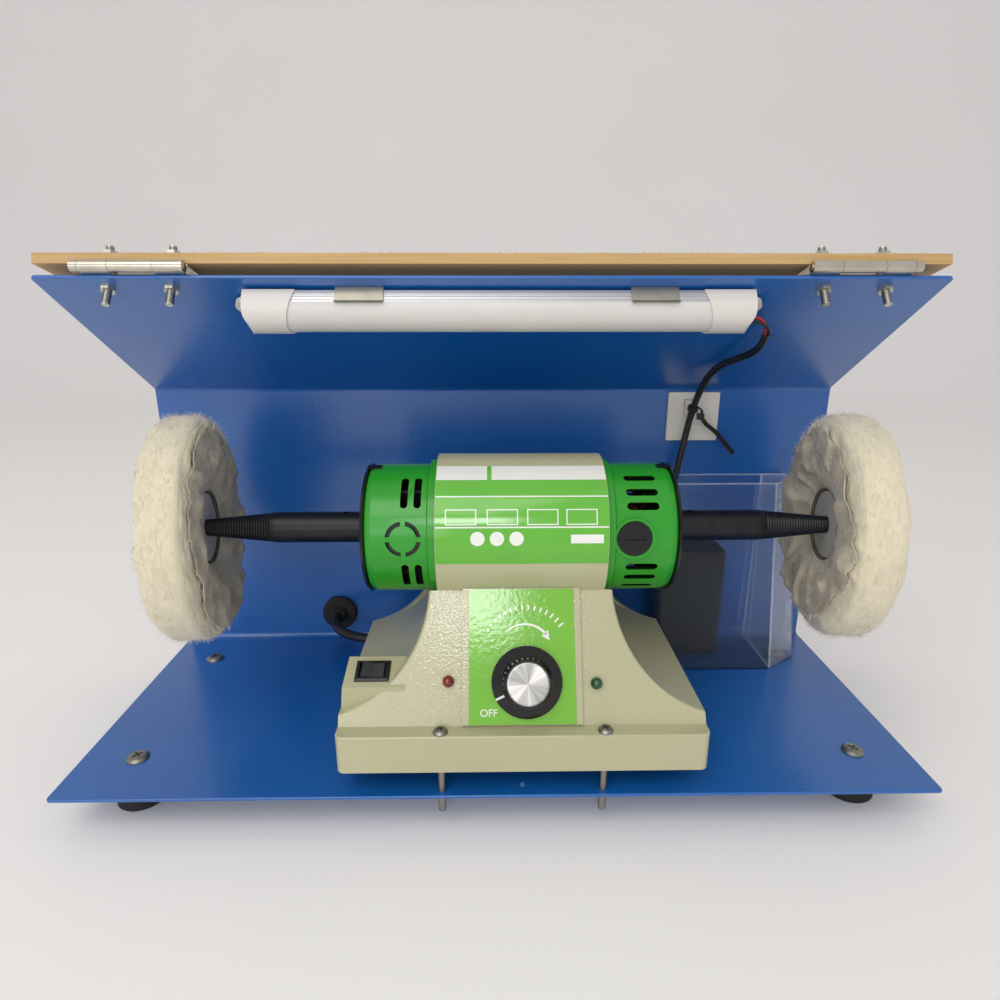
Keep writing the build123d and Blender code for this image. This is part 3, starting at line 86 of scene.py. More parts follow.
def clouds(material, spot, apart, detail, dull, bright):
    """Soft clouds, this many millimetres apart, that mix two tones: gives the clouds and the colour."""
    cloud = add(material, "TexNoise", {"Vector": spot, "Scale": every(apart), "Detail": detail})
    tone = add(material, "Mix", {0: cloud, 6: linear(dull), 7: linear(bright)}, data_type="RGBA")
    return cloud, tone


def relief(material, spot, apart, detail, strength, depth):
    """Fine uneven relief, its features this many millimetres apart and deep."""
    fine = add(material, "TexNoise", {"Vector": spot, "Scale": every(apart), "Detail": detail})
    return add(material, "Bump", {"Height": fine, "Strength": strength, "Distance": depth * MM})


def dress(material, *nodes):
    """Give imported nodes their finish."""
    for name in nodes:
        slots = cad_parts[name].data.materials
        slots.clear()
        slots.append(material)


# Polyester powder coat, baked: glossy, with peel waves about 2 mm apart and faint clouds of tone
powder, surface, spot = new_material("blue_powder_coat")
_, tone = clouds(powder, spot, 120, 2.0, "#0d529d", "#1461ad")
peel = relief(powder, spot, 1.8, 1.0, 0.8, 0.12)
dust = add(powder, "TexNoise", {"Vector": spot, "Scale": every(40), "Detail": 5.0})
gloss = add(powder, "MapRange", {"Value": dust, "To Min": 0.24, "To Max": 0.4})
feed(surface, {"Base Color": tone, "Roughness": gloss, "Normal": peel,
               "Coat Weight": 0.6, "Coat Roughness": 0.18, "Coat Normal": peel})
dress(powder, "hood_shell")


# Feet: four turned rubber bumpers under the plate, each held by a flat, low headed cross recess screw.
# The rubber is moulded; the screws are zinc plated steel.
def moulded(name, dull, bright, roughness, grain, depth):
    """Moulded plastic or rubber: two close tones in soft clouds, and the fine grain of its mould."""
    uneven = 0.06
    material, surface, spot = new_material(name)
    cloud, tone = clouds(material, spot, 30, 3.0, dull, bright)
    wear = add(material, "MapRange", {"Value": cloud, "To Min": roughness - uneven,
                                      "To Max": roughness + uneven})
    feed(surface, {"Base Color": tone, "Roughness": wear,
                   "Normal": relief(material, spot, grain, 2.0, 0.6, depth)})
    return material


def metal(name, dull, bright, roughness, streak, line):
    """Plated or bare metal: soft clouds of tone, and fine streaks that are streak long and line wide."""
    material, surface, spot = new_material(name)
    _, tone = clouds(material, spot, 9, 4.0, dull, bright)
    along = add(material, "Mapping", {"Vector": spot, "Scale": (every(streak), every(line), every(line))})
    drawn = add(material, "TexNoise", {"Vector": along, "Scale": 1.0, "Detail": 3.0})
    rough = add(material, "MapRange", {"Value": drawn, "From Min": 0.3, "From Max": 0.7,
                                       "To Min": roughness - 0.08, "To Max": roughness + 0.1})
    skin = add(material, "Bump", {"Height": drawn, "Strength": 0.3, "Distance": 0.02 * MM})
    feed(surface, {"Base Color": tone, "Metallic": 1.0, "Roughness": rough, "Normal": skin})
    return material


# Moulded rubber is near black, dull and finely grained
rubber = moulded("moulded_black_rubber", "#121213", "#1e1e20", 0.72, 0.6, 0.05)
dress(rubber, "hood_feet")
# Zinc plate that has been handled is grey, with a soft shine
dull_zinc = metal("dull_zinc_plated_steel", "#7d7b74", "#a09e96", 0.38, 2.0, 0.3)
dress(dull_zinc, "foot_screws")


# Pedestal: hollow cast body with a broad foot, flared sides, a saddle for the motor and a switch box.
# It is sprayed with cream hammer enamel.
DENT = 1.2
WARP = 0.7 * MM

# Hammer enamel dries into small glossy dents, each a little bent out of round, that break up the shine
hammer, surface, spot = new_material("cream_hammer_enamel")
_, tone = clouds(hammer, spot, 60, 3.0, "#aaa782", "#b8b593")
warp = add(hammer, "TexNoise", {"Vector": spot, "Scale": every(2.0), "Detail": 1.0})
bent = add(hammer, "Mix", {0: WARP, 4: spot, 5: warp.outputs["Color"]}, data_type="VECTOR")
dents = add(hammer, "TexVoronoi", {"Vector": bent, "Scale": every(DENT)}, feature="SMOOTH_F1")
dented = add(hammer, "Bump", {"Height": dents, "Strength": 0.8, "Distance": 0.14 * MM})
feed(surface, {"Base Color": tone, "Roughness": 0.28, "Normal": dented,
               "Coat Weight": 0.5, "Coat Roughness": 0.1, "Coat Normal": dented})
dress(hammer, "pedestal")


# Pedestal underside: moulded closing cover and four rubber pads between the casting and the plate.
# Four zinc plated bolts hold the pedestal; the front pair goes through its ledge and shows below the plate.

# Moulded cover plastic is dark grey and satin
cover_plastic = moulded("moulded_cover_plastic", "#1b1b1c", "#262627", 0.5, 0.5, 0.04)
dress(cover_plastic, "pedestal_bottom_cover")
dress(rubber, "pedestal_pads")
dress(dull_zinc, "pedestal_bolts")


def put(name, data, body, place=None):
    """Set a mesh, curve or word in its place, riding on a body."""
    new = bpy.data.objects.new(name, data)
    bpy.context.scene.collection.objects.link(new)
    if place is not None:
        new.matrix_world = place
    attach(new, body)
    return new


def piece(name, points, faces, material, body, place=None, smooth=True, second=None, second_from=0):
    """New mesh piece from points in millimetres; a second material may cover the faces from one on."""
    weld = 0.002
    made = bmesh.new()
    corners = [made.verts.new(Vector(point) * MM) for point in points]
    for at, face in enumerate(faces):
        new_face = made.faces.new([corners[corner] for corner in face])
        new_face.material_index = 1 if second and at >= second_from else 0
    bmesh.ops.remove_doubles(made, verts=made.verts, dist=weld * MM)
    bmesh.ops.recalc_face_normals(made, faces=made.faces)
    mesh = bpy.data.meshes.new(name)
    made.to_mesh(mesh)
    made.free()
    mesh.materials.append(material)
    if second:
        mesh.materials.append(second)
    mesh.polygons.foreach_set("use_smooth", [smooth] * len(mesh.polygons))
    return put(name, mesh, body, place)


def turned(name, profile, steps, material, body, place):
    """Turned piece: (radius, height) points in millimetres spun about the Z axis of its place."""
    points = []
    faces = []
    count = len(profile)
    for step in range(steps):
        angle = math.tau * step / steps
        points += [(r * math.cos(angle), r * math.sin(angle), height) for r, height in profile]
        base, after = step * count, (step + 1) % steps * count
        for at in range(count - 1):
            corners = [base + at, after + at, after + at + 1, base + at + 1]
            if profile[at][0] == 0:
                corners.pop(1)
            elif profile[at + 1][0] == 0:
                corners.pop(2)
            faces.append(corners)
    return piece(name, points, faces, material, body, place)


def thread(name, radius, start, end, pitch, place, body):
    """Rolled screw thread as rings that stand proud of a bolt's shank."""
    root, crest, sunk = radius + 0.01, 1.09 * radius, radius - 0.05
    ridges = int((end - start) / pitch)
    profile = [(sunk, start)]
    for ridge in range(ridges):
        low = start + ridge * pitch
        profile += [(root, low + 0.1 * pitch), (crest, low + 0.5 * pitch), (root, low + 0.9 * pitch)]
    profile.append((sunk, start + ridges * pitch))
    turned(name, profile, 24, dull_zinc, body, place)


PLATE_LOW, PLATE_TOP, SLAB_LOW, BOLT_END = 24.0, 26.0, 40.6, 13.4
BOLT_RADIUS, BOLT_PITCH, BOLT_Y = 1.9, 0.8, -85.3
for x, side in ((-30.6, "left"), (56.2, "right")):
    bolt = Matrix.Translation(Vector((x, BOLT_Y, 0)) * MM)
    for part, start, end in (("thread", PLATE_TOP + 0.1, SLAB_LOW - 0.1),
                             ("end", BOLT_END + 0.3, PLATE_LOW - 0.1)):
        thread(f"pedestal_bolt_{part}_{side}", BOLT_RADIUS, start, end, BOLT_PITCH, bolt, "stand")


# Motor: rolled steel tube in smooth cream enamel, with a printed film label wrapped round its front.
# The two end caps are green moulded plastic, each closed by a black rim.
# The right one takes two screwed brush caps.
MOTOR = Vector((12.8, -13.0, 151.4))
CAP_SKIN = 36.8
CAP_CORNER = 80.0
SKIN_EDGE = 0.5

# Smooth enamel is glossy, with a slight peel
enamel, surface, spot = new_material("cream_smooth_enamel")
_, tone = clouds(enamel, spot, 50, 3.0, "#aead86", "#bcbb97")
feed(surface, {"Base Color": tone, "Roughness": 0.22, "Normal": relief(enamel, spot, 1.6, 1.0, 0.3, 0.04)})
dress(enamel, "motor_tube")

# Green ABS, glossy outside; below the skin, the slots, the sunk ring and the bore are painted near black as
# painted shade
cap_green, surface, spot = new_material("green_moulded_abs")
axle = add(cap_green, "VectorMath", {0: spot, 1: MOTOR * MM}, operation="SUBTRACT")
across = add(cap_green, "VectorMath", {0: axle, 1: (0, 1, 1)}, operation="MULTIPLY")
radius = add(cap_green, "VectorMath", {0: across}, operation="LENGTH")
skin = add(cap_green, "MapRange", {"Value": radius, "From Min": (CAP_SKIN - SKIN_EDGE) * MM,
                                   "From Max": CAP_SKIN * MM})
along = add(cap_green, "SeparateXYZ", {"Vector": axle})
out = add(cap_green, "Math", {0: along.outputs["X"]}, operation="ABSOLUTE")
corner = add(cap_green, "Math", {0: out, 1: CAP_CORNER * MM}, operation="GREATER_THAN")
unshaded_skin = add(cap_green, "Math", {0: skin, 1: corner}, operation="MAXIMUM")
_, green = clouds(cap_green, spot, 30, 3.0, "#208b1a", "#2e9b27")
# Painted shade: inside the skin's radius, away from the cap's outer ends, the green turns near black
tone = add(cap_green, "Mix", {0: unshaded_skin, 6: linear("#0b1a0a"), 7: green}, data_type="RGBA")
feed(surface, {"Base Color": tone, "Roughness": 0.24,
               "Normal": relief(cap_green, spot, 0.5, 2.0, 0.6, 0.015)})
dress(cap_green, "end_cap_left", "end_cap_right")
# Black ABS keeps a moulded gloss, and phenolic is blacker and more polished
black_gloss = moulded("black_moulded_abs", "#0d0d0e", "#161617", 0.3, 0.5, 0.015)
dress(black_gloss, "end_rims")
dress(moulded("black_phenolic", "#070708", "#0d0d0e", 0.2, 0.5, 0.01), "brush_caps")


# Motor label: printed polyester film glued round the tube, green below a pale name strip left blank.
# The print is white ink: two rules, a row of empty boxes, three plain dots and a blank number field.
def printed_film(name, dull, bright, ripple, depth):
    """Glossy printed film: even ink with slight clouds, and ripples from the surface it is laid on."""
    material, surface, spot = new_material(name)
    _, tone = clouds(material, spot, 25, 2.0, dull, bright)
    feed(surface, {"Base Color": tone, "Roughness": 0.12,
                   "Normal": relief(material, spot, ripple, 2.0, 0.4, depth)})
    return material


# Label film is a bright glossy green, and its inks are a clean and a greyer white
LABEL_RIPPLE = (6, 0.12)
label_green = printed_film("green_label_film", "#5cab34", "#68b540", *LABEL_RIPPLE)
white_ink = printed_film("white_label_ink", "#dfe1d8", "#ebece6", *LABEL_RIPPLE)
pale_ink = printed_film("pale_label_ink", "#d9d9d3", "#e4e4df", *LABEL_RIPPLE)
dress(label_green, "motor_label")

LABEL_RADIUS = 43.3
LABEL_HALF = 45.8
INK = 0.04


def on_label(x, angle, lift):
    """Place on the round label: x from the motor's middle, angle up from the front, lift above the film."""
    radius = LABEL_RADIUS + lift
    turn = math.radians(angle)
    return MOTOR + Vector((x, -radius * math.cos(turn), radius * math.sin(turn)))


def patch(left, right, high, low):
    """Rows of a four sided patch of print, close enough to follow the curve."""
    steps = max(2, math.ceil((high - low) / 2))
    return [(left, right, high + (low - high) * step / steps) for step in range(steps + 1)]


def dot(x, angle, radius):
    """Rows of a round dot of print."""
    rows = []
    for turn in range(0, 181, 9):
        half = radius * math.sin(math.radians(turn))
        rise = math.degrees(radius * math.cos(math.radians(turn)) / LABEL_RADIUS)
        rows.append((x - half, x + half, angle + rise))
    return rows


def box_outline(middle, width, high, low, stroke):
    """Four patches that draw an empty box."""
    left, right = middle - width / 2, middle + width / 2
    rise = math.degrees(stroke / LABEL_RADIUS)
    return [patch(left, right, high, high - rise), patch(left, right, low + rise, low),
            patch(left, left + stroke, high, low), patch(right - stroke, right, high, low)]


def print_ink(name, patches, material, lift):
    """Patches of print on the label, each a list of rows (left, right, angle)."""
    points = []
    faces = []
    for rows in patches:
        for at, (left, right, angle) in enumerate(rows):
            points += [on_label(left, angle, lift), on_label(right, angle, lift)]
            if at:
                last = len(points)
                faces.append((last - 4, last - 3, last - 1, last - 2))
    piece(name, points, faces, material, "stand")


# High and low edges are angles; a box also has a width and a stroke, a field its left and right
NAME_STRIP = (68.4, 53.8)
STRIP_BAR = (-18.4, -16.0)
RULES = ((40.5, 39.5), (18.3, 17.3))
BOX_MIDDLES = (-32.4, -10.4, 10.9, 31.6)
BOX = (16.5, 30.6, 19.4, 0.6)
DOT_MIDDLES = (-23.6, -13.3, -3.0)
DOT_ANGLE, DOT_RADIUS = 9.8, 3.8
NUMBER_FIELD = (25.7, 43.1, 12.6, 6.4)
rules = [patch(-LABEL_HALF, LABEL_HALF, *rule) for rule in RULES]
for middle in BOX_MIDDLES:
    rules += box_outline(middle, *BOX)
dots = [dot(x, DOT_ANGLE, DOT_RADIUS) for x in DOT_MIDDLES]
print_ink("label_rules", rules, white_ink, INK)
print_ink("label_name_strip", [patch(-LABEL_HALF, LABEL_HALF, *NAME_STRIP)], pale_ink, INK)
print_ink("label_strip_bar", [patch(*STRIP_BAR, *NAME_STRIP)], label_green, 2 * INK)
print_ink("label_dots", dots + [patch(*NUMBER_FIELD)], white_ink, INK)


# Inside the motor: laminated stator and armature, enamelled copper windings, brushes, bearings and fan.
# They sit on the shaft, in the tube or in the end caps, and show only as dark shapes through slots.

# A wave texture of scale 1 has its bands this far apart
BANDS = math.tau / 20

# Stacked steel sheets give fine dull stripes across the shaft
laminated, surface, spot = new_material("laminated_steel")
sheets = add(laminated, "TexWave", {"Vector": spot, "Scale": every(1.0) * BANDS, "Distortion": 0.4},
             bands_direction="X")
tone = add(laminated, "Mix", {0: sheets.outputs["Fac"], 6: linear("#5c5c5e"), 7: linear("#86878a")},
           data_type="RGBA")
feed(surface, {"Base Color": tone, "Metallic": 1.0, "Roughness": 0.45})
dress(laminated, "stator_core", "armature_core")

# Wound copper under enamel is brown red, ribbed wire by wire
copper, surface, spot = new_material("enamelled_copper_wire")
wires = add(copper, "TexWave", {"Vector": spot, "Scale": every(0.9) * BANDS, "Distortion": 2.0},
            bands_direction="Y")
tone = add(copper, "Mix", {0: wires.outputs["Fac"], 6: linear("#7a3a1d"), 7: linear("#c0703f")},
           data_type="RGBA")
ribs = add(copper, "Bump", {"Height": wires.outputs["Fac"], "Strength": 0.6, "Distance": 0.3 * MM})
feed(surface, {"Base Color": tone, "Metallic": 1.0, "Roughness": 0.35, "Normal": ribs})
dress(copper, "field_coils", "armature_windings", "commutator", "brush_holders")

# Ground steel is bright, carbon is dull black, and the fan's plastic is dark and satin
ground_steel = metal("ground_steel", "#8e8f92", "#b9babc", 0.25, 20.0, 0.25)
dress(ground_steel, "rotor_shaft", "bearing_outer_rings", "bearing_inner_sets", "pot_shaft")
dress(moulded("pressed_carbon", "#151516", "#232326", 0.6, 0.3, 0.04), "carbon_brushes")
dress(moulded("moulded_fan_plastic", "#202022", "#2c2c2f", 0.5, 0.5, 0.03), "cooling_fan")


# Spindles: turned and threaded steel tapers, pushed on the shaft and held by set screws.
# They are blackened in hot oxide.

# Black oxide under oil: a soft dark shine, fine rings from turning, and patches rubbed lighter
oxide, surface, spot = new_material("black_oxide_steel")
_, tone = clouds(oxide, spot, 6, 5.0, "#141416", "#2c2d31")
rings = add(oxide, "Mapping", {"Vector": spot, "Scale": (every(0.5), every(40), every(40))})
marks = add(oxide, "TexNoise", {"Vector": rings, "Scale": 1.0, "Detail": 3.0})
oil = add(oxide, "MapRange", {"Value": marks, "To Min": 0.28, "To Max": 0.46})
turning = add(oxide, "Bump", {"Height": marks, "Strength": 0.4, "Distance": 0.03 * MM})
feed(surface, {"Base Color": tone, "Metallic": 0.55, "Roughness": oil, "Normal": turning})
dress(oxide, "spindle_left", "spindle_right")


# Buffs: many loose cotton discs sewn together at the hub; the rim fans out and its cut edge turns to nap.
# The outer disc of each face is worn grey, creased from the hub out and torn back from the rim.
# A grey pressed disc clamps each side of the hub, which is screwed on the spindle's taper.
HUB_RADIUS = 21.2
HUB_SHADE_WIDTH = 1.0


def painted_hub_shade(material, spot, cloth):
    """Colour of cloth with painted shade, dark where it comes out from under the clamped disc."""
    off_axle = add(material, "VectorMath", {0: spot, 1: (0, 1, 1)}, operation="MULTIPLY")
    radius = add(material, "VectorMath", {0: off_axle}, operation="LENGTH")
    hub = add(material, "MapRange", {"Value": radius, "From Min": HUB_RADIUS * MM,
                                     "From Max": (HUB_RADIUS + HUB_SHADE_WIDTH) * MM})
    # Painted shade: the cloth turns dark brown in a narrow ring just outside the clamped disc
    return add(material, "Mix", {0: hub, 6: linear("#3d362e"), 7: cloth}, data_type="RGBA")


# Raised cotton: the cut threads of the rim are teased into a cream nap, combed round by the spin
nap_cotton, surface, spot = new_material("raised_cotton_nap")
parts = add(nap_cotton, "SeparateXYZ", {"Vector": spot})
turn = add(nap_cotton, "Math", {0: parts.outputs["Z"], 1: parts.outputs["Y"]}, operation="ARCTAN2")
round_rim = add(nap_cotton, "CombineXYZ", {"X": parts.outputs["X"], "Y": turn})
# Streaks are 0.9 mm wide and about a ninth of a radian long
streak_scale = (every(0.9), 9.0, 1.0)
combed = add(nap_cotton, "Mapping", {"Vector": round_rim, "Scale": streak_scale})
streaks = add(nap_cotton, "TexNoise", {"Vector": combed, "Scale": 1.0, "Detail": 4.0})
tufts = add(nap_cotton, "TexNoise", {"Vector": spot, "Scale": every(4), "Detail": 4.0})
pile = add(nap_cotton, "Mix", {0: 0.45, 2: streaks, 3: tufts}, data_type="FLOAT")
pile_bump = add(nap_cotton, "Bump", {"Height": pile, "Strength": 0.8, "Distance": 0.5 * MM})
_, cream = clouds(nap_cotton, spot, 26, 3.0, "#c0b596", "#d8ceb2")
# Painted highlight: the raised streaks and tufts of the pile are lighter
fluff = add(nap_cotton, "Mix", {0: pile, 6: cream, 7: linear("#e4dcc6")}, data_type="RGBA")
feed(surface, {"Base Color": painted_hub_shade(nap_cotton, spot, fluff), "Roughness": 0.95,
               "Specular IOR Level": 0.12, "Normal": pile_bump, "Sheen Weight": 0.35,
               "Sheen Roughness": 0.5})

# Worn muslin: polish and metal dust have greyed it in patches.
# It has two threads a millimetre, drawn 1.5 mm apart to show.
WEAVE = {"Scale": every(1.5) * BANDS, "Distortion": 1.5, "Detail": 1.0}
worn_cotton, surface, spot = new_material("worn_cotton_muslin")
warp = add(worn_cotton, "TexWave", {"Vector": spot, **WEAVE}, bands_direction="Y")
weft = add(worn_cotton, "TexWave", {"Vector": spot, **WEAVE}, bands_direction="Z")
weave = add(worn_cotton, "Math", {0: warp.outputs["Fac"], 1: weft.outputs["Fac"]}, operation="MULTIPLY")
felt = add(worn_cotton, "TexNoise", {"Vector": spot, "Scale": every(2.2), "Detail": 5.0})
cloth = add(worn_cotton, "Mix", {0: 0.6, 2: weave, 3: felt}, data_type="FLOAT")
cloth_bump = add(worn_cotton, "Bump", {"Height": cloth, "Strength": 0.8, "Distance": 0.7 * MM})
stain = add(worn_cotton, "TexNoise", {"Vector": spot, "Scale": every(15), "Detail": 6.0})
patchy = add(worn_cotton, "MapRange", {"Value": stain, "From Min": 0.3, "From Max": 0.7})
grey = add(worn_cotton, "Mix", {0: patchy, 6: linear("#988c79"), 7: linear("#cfc5b0")}, data_type="RGBA")
feed(surface, {"Base Color": painted_hub_shade(worn_cotton, spot, grey), "Roughness": 0.95,
               "Specular IOR Level": 0.12, "Normal": cloth_bump, "Sheen Weight": 0.25,
               "Sheen Roughness": 0.5})

# Loose cotton threads: pale, fluffy and a little uneven in tone
strand, surface, spot = new_material("loose_cotton_strand")
_, tone = clouds(strand, spot, 8, 2.0, "#d9d0bb", "#f3eee0")
feed(surface, {"Base Color": tone, "Roughness": 0.9, "Sheen Weight": 0.3})

# Pressed hide: matt, pale grey and slightly pebbled
dress(moulded("pressed_grey_hide", "#a19c93", "#bfbab0", 0.7, 0.8, 0.12), "buff_flanges")

BUFF_OUT, BUFF_LEAN = 190.0, 8.0
BUFF_FACE = ((HUB_RADIUS, 7.6), (26.0, 8.4), (32.0, 11.0), (38.0, 13.0), (46.0, 13.5), (54.0, 13.3),
             (60.0, 12.4), (63.4, 10.6))
BUFF_RIM = ((64.6, 7.6), (64.8, 4.6), (64.8, 1.6))
BUFF_ANGLES = [math.tau * step / 192 for step in range(192)]
PLY_SHARES = [(step / 18) ** 0.8 for step in range(19)]
CLOTH = 0.6
PLY_GAP = 1.2
NEAR_TEAR, FAR_TEAR, CUT = 56.0, 48.0, 62.4
CURL, CURL_FROM = 3.0, 0.72
SINK, SINK_FROM = 1.3, 0.8
LOOSE_AFTER = 16
BROAD_WAVE, SHARP_FOLD, SMALL_CREASE, RIPPLE = 1.5, 2.6, 1.1, 0.7
NAP_ROOT, NAP_HALF, NAP_FLAT = 64.3, 13, 7
# Bunches of threads on the rim: how many, shortest, longest, and how much of their length stands up
LYING_NAP, STANDING_NAP = (1500, 1.2, 3.4, (0.1, 0.5)), (3600, 1.6, 4.4, (0.5, 0.95))
LYING_ENDS, STANDING_ENDS = (350, 5.0, 8.0, (0.25, 0.45)), (450, 4.0, 6.5, (0.4, 0.6))
# Threads on each face: how many, and the share of the torn disc's radius from which they start
TORN_THREADS, FACE_THREADS = (330, 1), (420, 0.45)


def face_height(radius):
    """Half thickness of the pressed buff at one radius."""
    for (r0, h0), (r1, h1) in zip(BUFF_FACE, BUFF_FACE[1:]):
        if radius <= r1:
            return h0 + (h1 - h0) * max(0, radius - r0) / (r1 - r0)
    return BUFF_FACE[-1][1]


def wander(angle, reach, seed):
    """Smooth wave round the buff, the same after a full turn; a larger reach gives more waves."""
    return noise.noise(Vector((reach * math.cos(angle), reach * math.sin(angle), seed)))


def crease(angle, radius, seed):
    """Height of the folds in a loose disc, which start at the hub and twist a little on their way out."""
    twisted = angle + 0.5 * noise.noise(Vector((radius / 16, seed, 0.5)))
    loose = min(1, (radius - HUB_RADIUS) / LOOSE_AFTER)
    # Each wave shifts with the radius, the small ones sooner
    broad = BROAD_WAVE * wander(twisted, 1.6, seed + radius / 60)
    fold = SHARP_FOLD * max(0, 1 - 4.4 * abs(wander(twisted, 2.4, seed + 5 + radius / 40)))
    small = SMALL_CREASE * wander(twisted, 6.0, seed + 3 + radius / 14)
    return loose * (broad + fold + small + RIPPLE * wander(twisted, 15.0, seed + radius / 7))


def ply_height(angle, radius, depth, seed):
    """Height of one disc over the buff's middle: the outer disc has depth 0, the next 1, the core 2."""
    gap = PLY_GAP * min(1, max(0.3, (64 - radius) / 6))
    return face_height(radius) + 0.2 - gap * depth + (1 - 0.3 * depth) * crease(angle, radius, seed)


def torn_edge(angle, seed):
    """Radius at which the outer disc is torn off; the far face, with a negative seed, has a smaller one."""
    middle = NEAR_TEAR if seed > 0 else FAR_TEAR
    ragged = 3.0 * wander(angle, 5.0, seed + 2) + wander(angle, 19, seed + 4)
    return middle + 8.0 * wander(angle, 1.3, seed) + ragged


def cut_edge(angle, seed):
    """Radius at which the disc below it is cut."""
    return CUT + 0.8 * wander(angle, 4.0, seed + 7)


def closed_grid(points, faces, rows):
    """Add a closed round grid: each row is a ring of points, and the last row meets the first."""
    start = len(points)
    width = len(rows[0])
    for row in rows:
        points += row
    for at in range(len(rows)):
        low, high = start + at * width, start + (at + 1) % len(rows) * width
        faces += [(low + i, low + (i + 1) % width, high + (i + 1) % width, high + i) for i in range(width)]


def ring(profile):
    """Ring of points round the axle; the profile gives place along the axle and radius at an angle."""
    spots = [(*profile(angle), angle) for angle in BUFF_ANGLES]
    return [(along, r * math.cos(angle), r * math.sin(angle)) for along, r, angle in spots]


def ply(points, faces, face, depth, seed, edge):
    """Add one disc of cloth on a face: an outer disc curls up here and there, a lower one sinks."""
    def profile(angle, share, lift):
        r = HUB_RADIUS + share * (edge(angle, seed) - HUB_RADIUS)
        here = max(0, wander(angle, 1.9, seed + 9))
        curl = CURL * here * max(0, (share - CURL_FROM) / (1 - CURL_FROM)) ** 2
        sink = SINK * max(0, (share - SINK_FROM) / (1 - SINK_FROM)) ** 2
        return face * (ply_height(angle, r, depth, seed) + lift + (curl if depth == 0 else -sink)), r

    rows = []
    for lift, shares in ((CLOTH / 2, PLY_SHARES), (-CLOTH / 2, PLY_SHARES[::-1])):
        rows += [ring(lambda angle: profile(angle, share, lift)) for share in shares]
    closed_grid(points, faces, rows)


def buff_core(points, faces, side, seeds):
    """Add the fanned body of the buff, from one face over the rim to the other."""
    def face_row(face, radius):
        return ring(lambda angle: (face * ply_height(angle, radius, 2, seeds[face]), radius))

    def rim_row(radius, along):
        def profile(angle):
            # The rim leans as one and swells in broad, middling and fine tufts
            lean = 1.2 * wander(angle, 2.2, 40 + side)
            swell = (0.8 * wander(angle, 4.0, 50 + along / 6) + 0.5 * wander(angle, 13.0, 60 + along / 3)
                     + 0.4 * wander(angle, 27.0, 70 + along / 2))
            return along + lean, radius + swell
        return ring(profile)

    radii = [r for r, _ in BUFF_FACE]
    rim = [*BUFF_RIM, *((r, -h) for r, h in reversed(BUFF_RIM))]
    rows = [face_row(1, r) for r in radii] + [rim_row(r, h) for r, h in rim]
    rows += [face_row(-1, r) for r in reversed(radii)]
    rows += [ring(lambda angle: (along, HUB_RADIUS - 1.5)) for along in (-4.5, 4.5)]
    closed_grid(points, faces, rows)


def strands(name, lines, thickness, material, body, place=None, taper=0.6, roundness=0, smoothness=2):
    """Bundle of threads, each given by its points in millimetres, thinning by taper to its end."""
    curve = bpy.data.curves.new(name, "CURVE")
    curve.dimensions = "3D"
    curve.bevel_depth = thickness / 2 * MM
    curve.bevel_resolution = roundness
    curve.resolution_u = smoothness
    curve.use_fill_caps = roundness > 0
    for line in lines:
        spline = curve.splines.new("NURBS")
        spline.points.add(len(line) - 1)
        for at, (point, where) in enumerate(zip(spline.points, line)):
            point.co = [*(Vector(where) * MM), 1.0]
            point.radius = 1.0 - taper * at / (len(line) - 1)
        spline.order_u = 3
        spline.use_endpoint_u = True
    curve.materials.append(material)
    return put(name, curve, body, place)


def nap_threads(draw, count, shortest, longest, stand):
    """Loose ends on the rim, combed round with the spin; stand is the range of how far they rise."""
    lines = []
    for _ in range(count):
        angle = draw.uniform(0, math.tau)
        along = draw.uniform(-NAP_HALF, NAP_HALF)
        base = NAP_ROOT - 0.5 * max(0, abs(along) - NAP_FLAT) ** 1.3
        length = draw.uniform(shortest, longest)
        rise = length * draw.uniform(*stand)
        round_by = draw.choice((-1, 1)) * math.sqrt(length ** 2 - rise ** 2) / base
        drift = draw.uniform(-0.3, 0.3) * length + 0.12 * along
        line = []
        for share in (0, 0.35, 0.7, 1.0):
            r = base + rise * share ** 0.8
            a = angle + round_by * share
            line.append((along + drift * share ** 1.5, r * math.cos(a), r * math.sin(a)))
        lines.append(line)
    return lines


def face_threads(draw, face, seed, count, inside):
    """Thread ends that hang out of an outer disc's torn edge, or lie on it from a share of its radius."""
    lines = []
    for _ in range(count):
        angle = draw.uniform(0, math.tau)
        edge = torn_edge(angle, seed) * draw.uniform(inside, 1)
        height = ply_height(angle, edge, 0, seed) + 0.2
        reach, aside, lift = draw.uniform(0.8, 3.6), draw.uniform(-2.5, 2.5), draw.uniform(-0.6, 1.4)
        line = []
        for share in (-0.4, 0.2, 0.6, 1.0):
            r = min(edge + reach * share, 64.0)
            a = angle + aside * share * abs(share) / edge
            line.append((face * (height + lift * share * abs(share)), r * math.cos(a), r * math.sin(a)))
        lines.append(line)
    return lines


